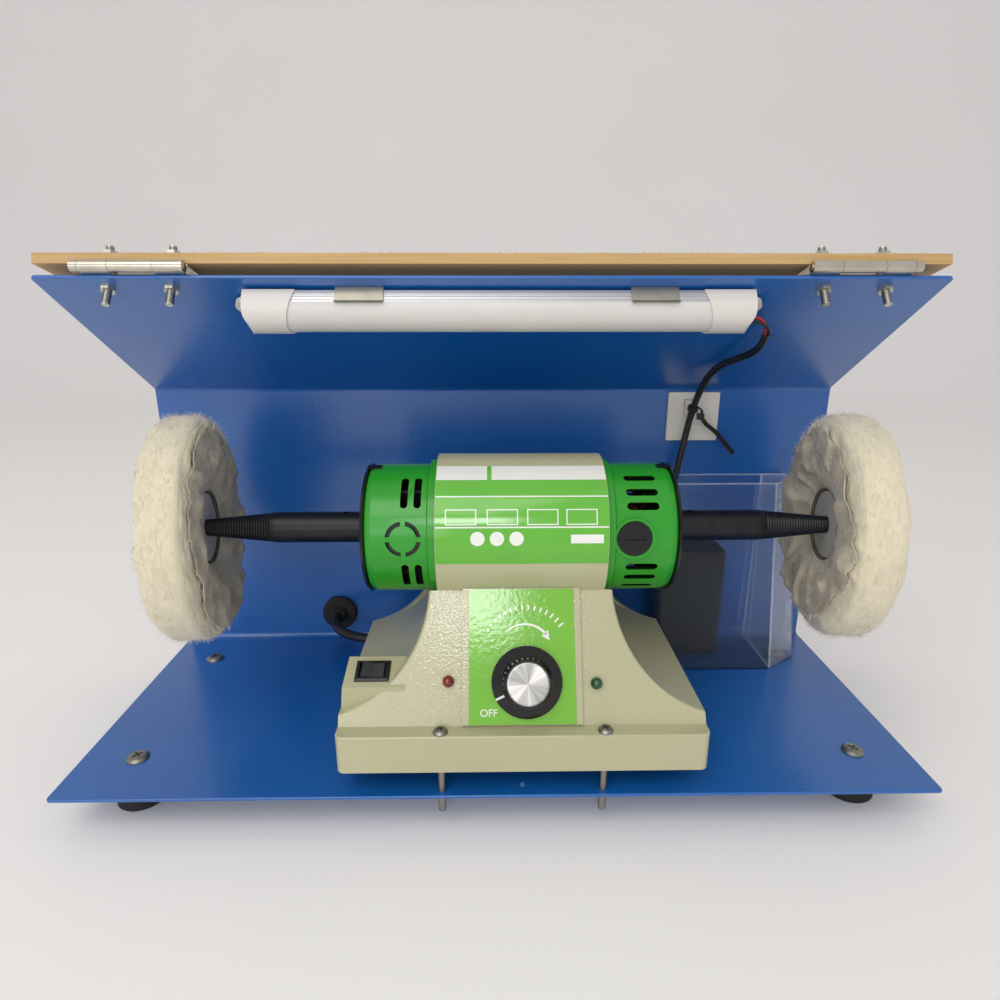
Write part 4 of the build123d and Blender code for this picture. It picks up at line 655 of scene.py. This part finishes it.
for side, name in ((-1, "left"), (1, "right")):
    middle = MOTOR + Vector((side * BUFF_OUT, 0, 0))
    place = Matrix.Translation(middle * MM) @ Matrix.Rotation(math.radians(-BUFF_LEAN * side), 4, "Z")
    # A seed picks where the folds of a face fall; the far face has a negative one
    seeds = {-side: 15.3 + 10 * side, side: -4.7 + 2 * side}
    points = []
    faces = []
    buff_core(points, faces, side, seeds)
    for face, seed in seeds.items():
        ply(points, faces, face, 1, seed, cut_edge)
    worn_from = len(faces)
    for face, seed in seeds.items():
        ply(points, faces, face, 0, seed, torn_edge)
    buff = piece(f"buff_{name}_cotton", points, faces, nap_cotton, "rotor", place,
                 second=worn_cotton, second_from=worn_from)
    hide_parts(f"buff_{name}")
    draw = random.Random(31 + side)
    nap = nap_threads(draw, *LYING_NAP) + nap_threads(draw, *STANDING_NAP)
    strands(f"buff_{name}_nap", nap, 0.12, strand, "rotor", place)
    ends = nap_threads(draw, *LYING_ENDS) + nap_threads(draw, *STANDING_ENDS)
    for face, seed in seeds.items():
        for bunch in (TORN_THREADS, FACE_THREADS):
            ends += face_threads(draw, face, seed, *bunch)
    strands(f"buff_{name}_thread_ends", ends, 0.2, strand, "rotor", place)


# Control panel: printed film glued on the pedestal's raised front strip, between two indicator lamps.
# Its white print is a turning arrow, a scale of growing ticks over it, and the word OFF at the knob's rest.

# The film is glossy yellow green and follows the hammer finish below it in small ripples
panel_green = printed_film("green_panel_film", "#6fb036", "#7bba42", 2.6, 0.2)
dress(panel_green, "control_panel")


def seat(origin, up, across=(1, 0, 0)):
    """Place with its origin in millimetres, its Z axis up from a surface and its X axis across."""
    z = Vector(up).normalized()
    x = Vector(across).normalized()
    rotation = Matrix((x, z.cross(x), z)).transposed().to_4x4()
    return Matrix.Translation(Vector(origin) * MM) @ rotation


PANEL_TILT = math.radians(27.0)
PANEL = seat((12.8, -80.2, 62.3), (0, -math.cos(PANEL_TILT), math.sin(PANEL_TILT)))
# The print stands 0.03 mm off the film
FILM_TOP = 2.3 + 0.03


def at_panel(x, s, lift=0.0):
    """Frame on the panel: x from its middle, s up its slope, lift off its face, in millimetres."""
    return PANEL @ Matrix.Translation(Vector((x, s, lift)) * MM)


def on_ray(turn, radius, aside=0.0, rise=0.0, middle=(0, 0)):
    """Point at a radius on a ray from the middle, set aside from the ray and raised."""
    return (middle[0] + radius * math.cos(turn) - aside * math.sin(turn),
            middle[1] + radius * math.sin(turn) + aside * math.cos(turn), rise)


DIAL_MIDDLE = (1.7, 38.2)
ARROW_RADIUS = 14.7
ARROW_FROM, ARROW_TO = 134.0, 38.0
ARROW_STEPS = 40
ARROW_HALF = 0.35
HEAD_HALF = 2.4
TICK_COUNT = 15
TICK_RADIUS, TICK_HALF = 22.5, 0.45
TICK_FROM, TICK_TO = 150, 36
TICK_SHORT, TICK_GROWTH = 1.2, 2.2
ink_points = []
ink_faces = []
for step in range(ARROW_STEPS + 1):
    share = step / ARROW_STEPS
    turn = math.radians(ARROW_FROM + (ARROW_TO - ARROW_FROM) * share)
    half = ARROW_HALF * (1 + share)
    ink_points += [on_ray(turn, ARROW_RADIUS + out, middle=DIAL_MIDDLE) for out in (-half, half)]
    if step:
        last = len(ink_points)
        ink_faces.append((last - 4, last - 3, last - 1, last - 2))
start = len(ink_points)
for out, turn in ((0, ARROW_TO - 14), (-HEAD_HALF, ARROW_TO + 5), (HEAD_HALF, ARROW_TO + 5)):
    ink_points.append(on_ray(math.radians(turn), ARROW_RADIUS + out, middle=DIAL_MIDDLE))
ink_faces.append((start, start + 1, start + 2))
for tick in range(TICK_COUNT):
    share = tick / (TICK_COUNT - 1)
    turn = math.radians(TICK_FROM + (TICK_TO - TICK_FROM) * share)
    top = TICK_RADIUS + TICK_SHORT + TICK_GROWTH * share
    corners = ((TICK_RADIUS, -TICK_HALF), (TICK_RADIUS, TICK_HALF), (top, TICK_HALF), (top, -TICK_HALF))
    start = len(ink_points)
    ink_points += [on_ray(turn, r, aside, middle=DIAL_MIDDLE) for r, aside in corners]
    ink_faces.append(tuple(range(start, start + 4)))
piece("panel_print", ink_points, ink_faces, white_ink, "stand", at_panel(0, 0, FILM_TOP),
      smooth=False)

word = bpy.data.curves.new("panel_word_off", "FONT")
word.body = "OFF"
word.size = 5.4 * MM
word.align_x = "CENTER"
word.align_y = "CENTER"
word.extrude = 0.02 * MM
word.offset = 0.04 * MM
word.materials.append(white_ink)
put("panel_word_off", word, "stand", at_panel(-18.0, 6.5, FILM_TOP))

# Indicator lens: clear coloured plastic, so the dome is dark at its edge and bright where light gathers
for name, node, deep, bright in (("red_lens_plastic", "red_indicator", "#4f080c", "#8c1418"),
                                 ("green_lens_plastic", "green_indicator", "#083a1c", "#155a2c")):
    lens, surface, spot = new_material(name)
    _, tone = clouds(lens, spot, 4, 1.0, deep, bright)
    feed(surface, {"Base Color": tone, "Roughness": 0.08, "IOR": 1.49, "Subsurface Weight": 0.3,
                   "Subsurface Scale": 2 * MM, "Coat Weight": 0.5})
    dress(lens, node)


# Speed knob: fluted plastic skirt on the potentiometer's shaft, with an aluminium cap let into its top.
# A white line on the skirt points to OFF.

# Polished black plastic, in which the flutes show as thin bright lines
dress(moulded("black_knob_plastic", "#080809", "#0f0f10", 0.15, 0.6, 0.01), "knob")
dress(cover_plastic, "potentiometer")

# Spun aluminium: bright wedges and fine streaks from the middle out are painted highlights of its turning
# marks
spun, surface, spot = new_material("spun_aluminium")
parts = add(spun, "SeparateXYZ", {"Vector": spot})
turn = add(spun, "Math", {0: parts.outputs["Y"], 1: parts.outputs["X"]}, operation="ARCTAN2")
round_cap = add(spun, "CombineXYZ", {"X": turn})
# Scales are per radian: fine streaks, and about ten broad wedges in a turn, both painted highlights
marks = add(spun, "TexNoise", {"Vector": round_cap, "Scale": 26.0, "Detail": 6.0})
highlight_wedges = add(spun, "TexNoise", {"Vector": round_cap, "Scale": 1.6, "Detail": 2.0})
highlight_streaks = add(spun, "Mix", {0: 0.45, 2: highlight_wedges, 3: marks}, data_type="FLOAT")
sharp = add(spun, "MapRange", {"Value": highlight_streaks, "From Min": 0.38, "From Max": 0.62})
# Painted highlight: the colour turns pale along the streaks and wedges
tone = add(spun, "Mix", {0: sharp, 6: linear("#8b8985"), 7: linear("#d6d4d0")}, data_type="RGBA")
radial = add(spun, "Tangent", direction_type="RADIAL", axis="Z")
feed(surface, {"Base Color": tone, "Metallic": 1.0, "Roughness": 0.36, "Anisotropic": 0.8,
               "Tangent": radial})

KNOB = at_panel(2.4, 22.6)
KNOB_CAP_SIDE, KNOB_CAP_FACE, KNOB_CAP_TOP, KNOB_CAP_DISH = 11.17, 10.5, 16.6, 0.12
POINTER_TURN = math.radians(208.5)
POINTER_RUN = ((13.95, 7.35), (18.93, 4.16), (18.96, 3.1))
POINTER_HALF = 0.55
cap_profile = [(KNOB_CAP_SIDE, 14.2), (KNOB_CAP_SIDE, 16.1), (10.9, 16.45), (KNOB_CAP_FACE, KNOB_CAP_TOP)]
for r in (10.2, 8.0, 5.5, 3.0, 1.0, 0.0):
    cap_profile.append((r, KNOB_CAP_TOP - KNOB_CAP_DISH * (1 - r / KNOB_CAP_FACE)))
knob_cap = turned("knob_cap_spun", cap_profile, 96, spun, "speed_knob", KNOB)
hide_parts("knob_cap")

pointer_points = [on_ray(POINTER_TURN, r, aside, h) for r, h in POINTER_RUN
                  for aside in (-POINTER_HALF, POINTER_HALF)]
pointer_faces = [(2 * at, 2 * at + 1, 2 * at + 3, 2 * at + 2) for at in range(len(POINTER_RUN) - 1)]
piece("knob_pointer", pointer_points, pointer_faces, white_ink, "speed_knob", KNOB,
      smooth=False)


# Rocker switch: black moulded bezel snapped into the switch box, and a rocker button on two small pivots.
# The button is duller than its bezel, as finger wear and a fine spark finish leave it.
dress(black_gloss, "rocker_bezel")
dress(moulded("black_rocker_plastic", "#2c2b2b", "#3b3a3a", 0.42, 0.35, 0.04), "rocker_button")


# Work lamp: extruded aluminium channel under the flap, with an opal cover, a strip of lights and end caps.
# Two spring steel clips hold it, each screwed through the flap.

# Anodised aluminium: pale and silky, with drawn lines along the channel
anodised, surface, spot = new_material("anodised_aluminium")
along = add(anodised, "Mapping", {"Vector": spot, "Scale": (every(90), every(0.6), every(0.6))})
drawn = add(anodised, "TexNoise", {"Vector": along, "Scale": 1.0, "Detail": 3.0})
tone = add(anodised, "Mix", {0: drawn, 6: linear("#c9c8ca"), 7: linear("#e4e3e4")}, data_type="RGBA")
feed(surface, {"Base Color": tone, "Metallic": 0.85, "Roughness": 0.38})
dress(anodised, "lamp_housing")

# Opal acrylic takes light in, so its edges are soft; the moulded caps are warmer white and harder
opal = moulded("opal_acrylic", "#cfcac6", "#d9d5d1", 0.36, 0.5, 0.01)
feed(opal.node_tree.nodes["Principled BSDF"], {"Subsurface Weight": 0.25, "Subsurface Scale": 3 * MM})
dress(opal, "lamp_diffuser")
dress(moulded("white_moulded_plastic", "#d0cac4", "#dad5d0", 0.34, 0.6, 0.02),
      "lamp_end_caps", "lamp_led_strip")
# Spring steel is yellowish and streaked, and new zinc plate is bright
dress(metal("bright_spring_steel", "#9b9789", "#b8b4a6", 0.4, 12.0, 0.3), "lamp_clips")
zinc = metal("zinc_plated_steel", "#a9a89f", "#d2d0c6", 0.3, 3.0, 0.3)
dress(zinc, "lamp_clip_screws")


# Lamp cable: a black sleeve that takes in the lamp's red and black leads, sags past the flap,
# is tied to the wall once and drops to the adapter. All are PVC, smooth with a dull shine.
sleeve_pvc = moulded("black_pvc_sleeve", "#141415", "#202022", 0.42, 0.7, 0.03)
red_pvc = moulded("red_pvc_lead", "#a51b1f", "#c02a2b", 0.38, 0.7, 0.02)


def cord(name, points, thickness, material):
    """Round cord on one smooth line through its given points, in millimetres."""
    return strands(name, [points], thickness, material, "stand", taper=0, roundness=5,
                   smoothness=10)


LEAD = 1.8
SLEEVE = 4.5
SLEEVE_ROUTE = (
    (154.1, 3, 261), (157, 13, 255.8), (157.2, 25, 249.2), (152.4, 38, 244.5), (146.7, 50, 240),
    (142.3, 60, 232.5), (140.2, 69, 221), (138, 75, 208), (136.2, 77.5, 194), (134, 78, 180),
    (131.3, 77.3, 165.5), (127.8, 75.6, 146), (124, 74, 127), (124, 74, 107.5))
RED_ROUTE = ((138, -8.37, 270.66), (144, -8.37, 270.66), (150.9, -5.5, 264.8), (153.0, 3, 261))
BLACK_ROUTE = ((138, -10.25, 267.71), (144, -10.25, 267.71), (153.1, -5.5, 263.6), (155.2, 3, 261))
red_lead = cord("lamp_lead_red", RED_ROUTE, LEAD, red_pvc)
black_lead = cord("lamp_lead_black", BLACK_ROUTE, LEAD, sleeve_pvc)
sleeve = cord("lamp_cable_sleeve", SLEEVE_ROUTE, SLEEVE, sleeve_pvc)
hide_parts("lamp_cable")


# Tie mount: moulded nylon pad glued to the wall, and a black nylon tie round the lamp cable.
# The pad is a warm matt white; the tie is smoother, and its tail is left long.
dress(moulded("white_mount_nylon", "#d6d1c6", "#e0dcd2", 0.5, 0.7, 0.03), "tie_mount")
dress(moulded("black_tie_nylon", "#141414", "#232323", 0.36, 0.5, 0.02), "cable_tie")


# Lamp adapter: black moulded block standing in an open clear bin with a chamfered corner.
# The bin is thin moulded polystyrene; a foot screw holds its floor.

# Adapter plastic is black and matt
dress(moulded("black_adapter_plastic", "#0f1012", "#191a1d", 0.55, 0.5, 0.05), "adapter")

BIN_CORNER, BIN_TOP = 195.8, 158.0
CORNER_HALF, RIM_DEPTH = 0.8, 0.9
EDGE_GLARE = 0.45

# Clear polystyrene has painted reflection: whitish on its corner edge and rim, faintly on its slanted side,
# and hardly on its front, where the blue wall shows through
clear, surface, spot = new_material("clear_polystyrene")
haze, tone = clouds(clear, spot, 45, 3.0, "#dfeaf5", "#eef5fc")
rough = add(clear, "MapRange", {"Value": haze, "To Min": 0.02, "To Max": 0.06})
parts = add(clear, "SeparateXYZ", {"Vector": spot})
slant_glare = add(clear, "MapRange", {"Value": parts.outputs["X"], "From Min": (BIN_CORNER - 1) * MM,
                                "From Max": (BIN_CORNER + 1) * MM, "To Min": 0.03, "To Max": 0.16})
edge = add(clear, "Math", {0: parts.outputs["X"], 1: BIN_CORNER * MM, 2: CORNER_HALF * MM},
           operation="COMPARE")
rim = add(clear, "Math", {0: parts.outputs["Z"], 1: BIN_TOP * MM, 2: RIM_DEPTH * MM}, operation="COMPARE")
glare_edges = add(clear, "Math", {0: edge, 1: rim}, operation="MAXIMUM")
# Painted reflection: these let less light through, so the pale base colour shows as glare
painted_glare = add(clear, "Math", {0: glare_edges, 1: EDGE_GLARE, 2: slant_glare}, operation="MULTIPLY_ADD")
sheer = add(clear, "Math", {0: 1.0, 1: painted_glare}, operation="SUBTRACT")
# Its walls are thin, so they bend and mirror less light than solid plastic and let some straight through
feed(surface, {"Base Color": tone, "Roughness": rough, "IOR": 1.2, "Alpha": 0.45,
               "Transmission Weight": sheer})
dress(clear, "clear_box")


# Hinges: two nickel plated butt hinges on the flap's front edge, bolted to the flap and to the lid.
# Their bolts and nuts are zinc plated, with thread ends left showing below the flap and above the lid.

# Nickel plate is warmer than zinc and shines in long streaks
nickel = metal("nickel_plated_steel", "#b5ad9c", "#d8d2c4", 0.27, 14.0, 0.3)
dress(nickel, "hinge_fixed_leaves", "hinge_lid_leaves", "hinge_pins")
dress(zinc, "hinge_flap_bolts", "hinge_lid_bolts")

FLAP_RISE, FLAP_RUN = 70.0, 110.0
FLAP_ANGLE = math.atan2(FLAP_RISE, FLAP_RUN)
FLAP = seat((0, 88.0, 220.0), (0, math.sin(FLAP_ANGLE), math.cos(FLAP_ANGLE)))
LID_SLOPE = math.radians(16.5)
HINGE_LINE = Vector((0, -21.45545, 295.69855))
LID = seat(HINGE_LINE, (0, math.sin(LID_SLOPE), math.cos(LID_SLOPE)))
HINGE_BOLT, HINGE_PITCH = 1.95, 0.7
BOLT_INSET = 10.0
FLAP_BOLT_S = math.hypot(FLAP_RISE, FLAP_RUN) + 2.6 - BOLT_INSET
for index, x in enumerate((-203.5, -170.5, 174.0, 207.0)):
    below = FLAP @ Matrix.Translation(Vector((x, -FLAP_BOLT_S, 0)) * MM)
    thread(f"hinge_flap_thread_{index}", HINGE_BOLT, -10.8, -3.1, HINGE_PITCH, below, "stand")
    above = LID @ Matrix.Translation(Vector((x, BOLT_INSET, 0)) * MM)
    thread(f"hinge_lid_thread_{index}", HINGE_BOLT, 11.2, 13.9, HINGE_PITCH, above, "lid")


# Lid: a thin board of pressed wood fibre, sawn to size and folded back on its hinges.
# Sawing left torn fibres along its top front edge.

# Pressed fibre: golden at its sawn edges, with long fine fibres, browner below with painted light, dull all
# over
board, surface, spot = new_material("pressed_fibre_board")
level = Matrix.Rotation(LID_SLOPE, 3, "X") @ HINGE_LINE * MM
local = add(board, "Mapping", {"Vector": spot, "Rotation": (LID_SLOPE, 0, 0), "Location": -level})
parts = add(board, "SeparateXYZ", {"Vector": local})
drawn_out = add(board, "Mapping", {"Vector": local, "Scale": (every(45), every(5), every(0.8))})
fibre = add(board, "TexNoise", {"Vector": drawn_out, "Scale": 1.0, "Detail": 5.0})
speck = add(board, "TexNoise", {"Vector": local, "Scale": every(1.4), "Detail": 3.0})
ragged = add(board, "Math", {0: fibre, 1: 0.8 * MM, 2: parts.outputs["Z"]}, operation="MULTIPLY_ADD")
layer = add(board, "MapRange", {"Value": ragged, "From Min": 2.9 * MM, "From Max": 3.3 * MM})
golden = add(board, "Mix", {0: fibre, 6: linear("#a8834d"), 7: linear("#cbad78")}, data_type="RGBA")
# Painted light: the orange brown is the board's own, painted lighter to stand in for light the shaded
# underside lacks
brown = add(board, "Mix", {0: fibre, 6: linear("#c6965f"), 7: linear("#e0b981")}, data_type="RGBA")
tone = add(board, "Mix", {0: layer, 6: brown, 7: golden}, data_type="RGBA")
rough_cut = add(board, "Mix", {0: 0.4, 2: fibre, 3: speck}, data_type="FLOAT")
board_bump = add(board, "Bump", {"Height": rough_cut, "Strength": 0.6, "Distance": 0.3 * MM})
feed(surface, {"Base Color": tone, "Roughness": 0.62, "Normal": board_bump})
dress(board, "lid_board")

BOARD_TOP = 8.0
BOARD_EDGE = 2.9
draw = random.Random(12)
splinter_points = []
splinter_faces = []
for _ in range(170):
    x = draw.uniform(-160, 235)
    long, tall = draw.uniform(1.0, 3.6), draw.uniform(0.25, 0.8)
    front = BOARD_EDGE + draw.uniform(0.0, 0.5)
    foot = [(x, front), (x + long, front), (x + 0.5 * long, front + 1)]
    tip = (x + draw.uniform(0.2, 0.8) * long, front + 0.2, BOARD_TOP + 0.1 + tall)
    a = len(splinter_points)
    splinter_points += [(*corner, BOARD_TOP) for corner in foot] + [tip]
    splinter_faces += [(a, a + 1, a + 3), (a + 1, a + 2, a + 3), (a + 2, a, a + 3), (a, a + 2, a + 1)]
piece("lid_saw_splinters", splinter_points, splinter_faces, board, "lid", LID,
      smooth=False)


# Mains cord: round PVC lead from the pedestal to a rubber grommet in the wall, then down to the bench,
# where the rest is put away as a coil of two layers, held by a twisted tie, with a moulded two blade plug.
CORD = 6.8

# Cord PVC is black with a soft shine
cord_pvc = moulded("black_pvc_cord", "#101011", "#1c1c1e", 0.45, 0.8, 0.03)
dress(rubber, "wall_grommet")

INNER_ROUTE = (
    (-121.2, 79, 47.5), (-121.2, 70, 47.5), (-117.9, 60.5, 47), (-109.5, 52, 46.5), (-97, 47, 46),
    (-83, 44.5, 46.5), (-69, 41.5, 48.5), (-58, 33, 50))
inner = cord("mains_cord_inner", INNER_ROUTE, CORD, cord_pvc)
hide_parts("cord_inner")

FREE_ROUTE = [
    (-121.2, 110, 47.5), (-121.2, 126, 47.5), (-120.6, 142.5, 43), (-118.8, 156.5, 31.5),
    (-114.5, 167.5, 18), (-106, 178.5, 7.5), (-92.5, 189.5, 3.6), (-75.5, 197.5, 3.6), (-58, 197.5, 3.6)]
COIL = Vector((-58.0, 151.5, 0))
COIL_LOW, COIL_HIGH = 3.6, 11.0
COIL_REACH = (46.0, 42.3, 38.6, 34.9, 31.2, 27.5, 22.2)
HALF_TURN_POINTS = 9


def half_turn(start, end, low, high):
    """Points of half a turn of the coil, between two reaches from its middle; a climb rises evenly."""
    # Points stand off the line a little, because the smooth line runs inside its corners
    stand_off = 1 / math.cos(math.pi / 2 / HALF_TURN_POINTS)
    made = []
    for at in range(HALF_TURN_POINTS):
        share = (at + 0.5) / HALF_TURN_POINTS
        reach = (abs(start) + share * (abs(end) - abs(start))) * stand_off
        turn = math.pi * share + (0 if start < 0 else math.pi)
        rise = low + share * (high - low)
        made.append(COIL + Vector((reach * math.sin(turn), reach * math.cos(turn), rise)))
    return made


stations = [reach if at % 2 else -reach for at, reach in enumerate(COIL_REACH)]
back_out = [-reach for reach in reversed(stations)]
coil_points = []
for start, end in zip(stations, stations[1:]):
    coil_points += half_turn(start, end, COIL_LOW, COIL_LOW)
coil_points += half_turn(stations[-1], -stations[-1], COIL_LOW, COIL_HIGH)
for start, end in zip(back_out, back_out[1:]):
    coil_points += half_turn(start, end, COIL_HIGH, COIL_HIGH)
coil_points += [Vector((-62, 105.5, COIL_HIGH)), Vector((-77, 105.5, COIL_HIGH))]
mains = cord("mains_cord", FREE_ROUTE + coil_points, CORD, cord_pvc)
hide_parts("cord_free", "cord_coil")

# Plug plastic is black and satin; the plastic strip round the tie's wire is greyer and duller
dress(moulded("black_moulded_plug", "#131314", "#1f1f21", 0.4, 0.6, 0.04), "cord_plug")
tie_wire = moulded("black_twist_tie", "#18181a", "#26262a", 0.5, 0.5, 0.03)

TIE_HALF = 1.8
TIE_THICK, TIE_PRESSED = 0.5, 0.19
TIE_MIDDLE = 33.0
TIE_LOOP = ((18.0, 0.02), (48.4, 0.02), (48.9, 4.0), (48.9, 11.5), (45.0, 14.62), (22.0, 14.62),
            (18.2, 11.0), (17.8, 4.0))
TIE_ENDS = (((30, 0, 15.0), (31, 1.2, 15.9), (33, -1.0, 16.6), (36, 1.5, 16.4), (41, 4.0, 15.6)),
            ((30, 0, 15.0), (31, -1.2, 15.9), (33, 1.0, 16.4), (36, -1.8, 16.2), (40, -5.5, 15.5)))
coil_place = Matrix.Translation(COIL * MM)
tie_points = []
tie_faces = []
for at, (reach, rise) in enumerate(TIE_LOOP):
    below, above = rise < 1, rise > 12
    inside = TIE_PRESSED if below else rise
    lift = TIE_THICK if above else 0.0
    push = 0.0 if below or above else math.copysign(TIE_THICK, reach - TIE_MIDDLE)
    for aside in (-TIE_HALF, TIE_HALF):
        tie_points += [(reach, aside, inside), (reach + push, aside, rise + lift)]
    a, b = 4 * at, 4 * ((at + 1) % len(TIE_LOOP))
    tie_faces += [(a, b, b + 2, a + 2), (a + 1, a + 3, b + 3, b + 1), (a, a + 1, b + 1, b),
                  (a + 2, b + 2, b + 3, a + 3)]
tie = piece("mains_cord_tie", tie_points, tie_faces, tie_wire, "stand", coil_place,
            smooth=False)
tie_ends = strands("mains_cord_tie_ends", TIE_ENDS, 1.2, tie_wire, "stand", coil_place)


# Studio: a floor of pale paper that sweeps up behind the object, all its lengths in metres.
# Three soft lamps light it from above and in front, and the camera stands where the photograph was taken.
FLOOR_FRONT, SWEEP_START, SWEEP_RADIUS = -3.0, 1.4, 0.9
WALL_TOP, HALF_WIDTH = 4.0, 12.0

# Backdrop paper: matt, near white and nearly even
floor_paper, surface, spot = new_material("pale_backdrop_paper")
_, tone = clouds(floor_paper, spot, 400, 2.0, "#eeebe9", "#f2f0ee")
feed(surface, {"Base Color": tone, "Roughness": 0.7})

sweep = [(FLOOR_FRONT, 0.0), (SWEEP_START, 0.0)]
for degrees in range(10, 100, 10):
    turn = math.radians(degrees)
    sweep.append((SWEEP_START + SWEEP_RADIUS * math.sin(turn), SWEEP_RADIUS * (1 - math.cos(turn))))
sweep.append((SWEEP_START + SWEEP_RADIUS, WALL_TOP))
backdrop_mesh = bpy.data.meshes.new("studio_backdrop")
backdrop_mesh.from_pydata([(x, y, z) for y, z in sweep for x in (-HALF_WIDTH, HALF_WIDTH)], [],
                          [(2 * at, 2 * at + 1, 2 * at + 3, 2 * at + 2) for at in range(len(sweep) - 1)])
backdrop_mesh.materials.append(floor_paper)
backdrop_mesh.polygons.foreach_set("use_smooth", [True] * len(backdrop_mesh.polygons))
backdrop = bpy.data.objects.new("studio_backdrop", backdrop_mesh)
bpy.context.scene.collection.objects.link(backdrop)

world = bpy.data.worlds.new("studio_air")
world.use_nodes = True
feed(world.node_tree.nodes["Background"], {"Color": linear("#f2f2f4"), "Strength": 0.74})
bpy.context.scene.world = world


def lamp(name, where, aim, size, power, colour):
    """Soft rectangular lamp."""
    light = bpy.data.lights.new(name, "AREA")
    light.shape = "RECTANGLE"
    light.size, light.size_y = size
    light.energy = power
    light.color = linear(colour)[:3]
    new = bpy.data.objects.new(name, light)
    new.location = where
    new.rotation_euler = (Vector(aim) - Vector(where)).to_track_quat("-Z", "Y").to_euler()
    bpy.context.scene.collection.objects.link(new)


lamp("studio_key", (-0.5, -1.1, 1.6), (0, 0, 0.12), (1.4, 0.9), 11.0, "#fffaf2")
lamp("studio_fill", (-0.6, -1.4, 0.42), (0, 0, 0.24), (1.0, 0.4), 3.2, "#f8faff")
lamp("studio_window", (-0.06, -1.1, 0.7), (0, 0, 0.1), (0.22, 0.16), 1.5, "#ffffff")

CAMERA_DOWN, CAMERA_ASIDE = 16.523, -0.879
camera = bpy.data.objects.new("photo_camera", bpy.data.cameras.new("photo_camera"))
camera.data.sensor_width = 36.0
camera.data.lens = 23.475
camera.data.clip_start = 0.01
camera.location = (-0.00385, -0.37838, 0.27587)
camera.rotation_euler = (math.radians(90 - CAMERA_DOWN), 0, math.radians(CAMERA_ASIDE))
bpy.context.scene.collection.objects.link(camera)
bpy.context.scene.camera = camera
bpy.context.scene.view_settings.view_transform = "Standard"
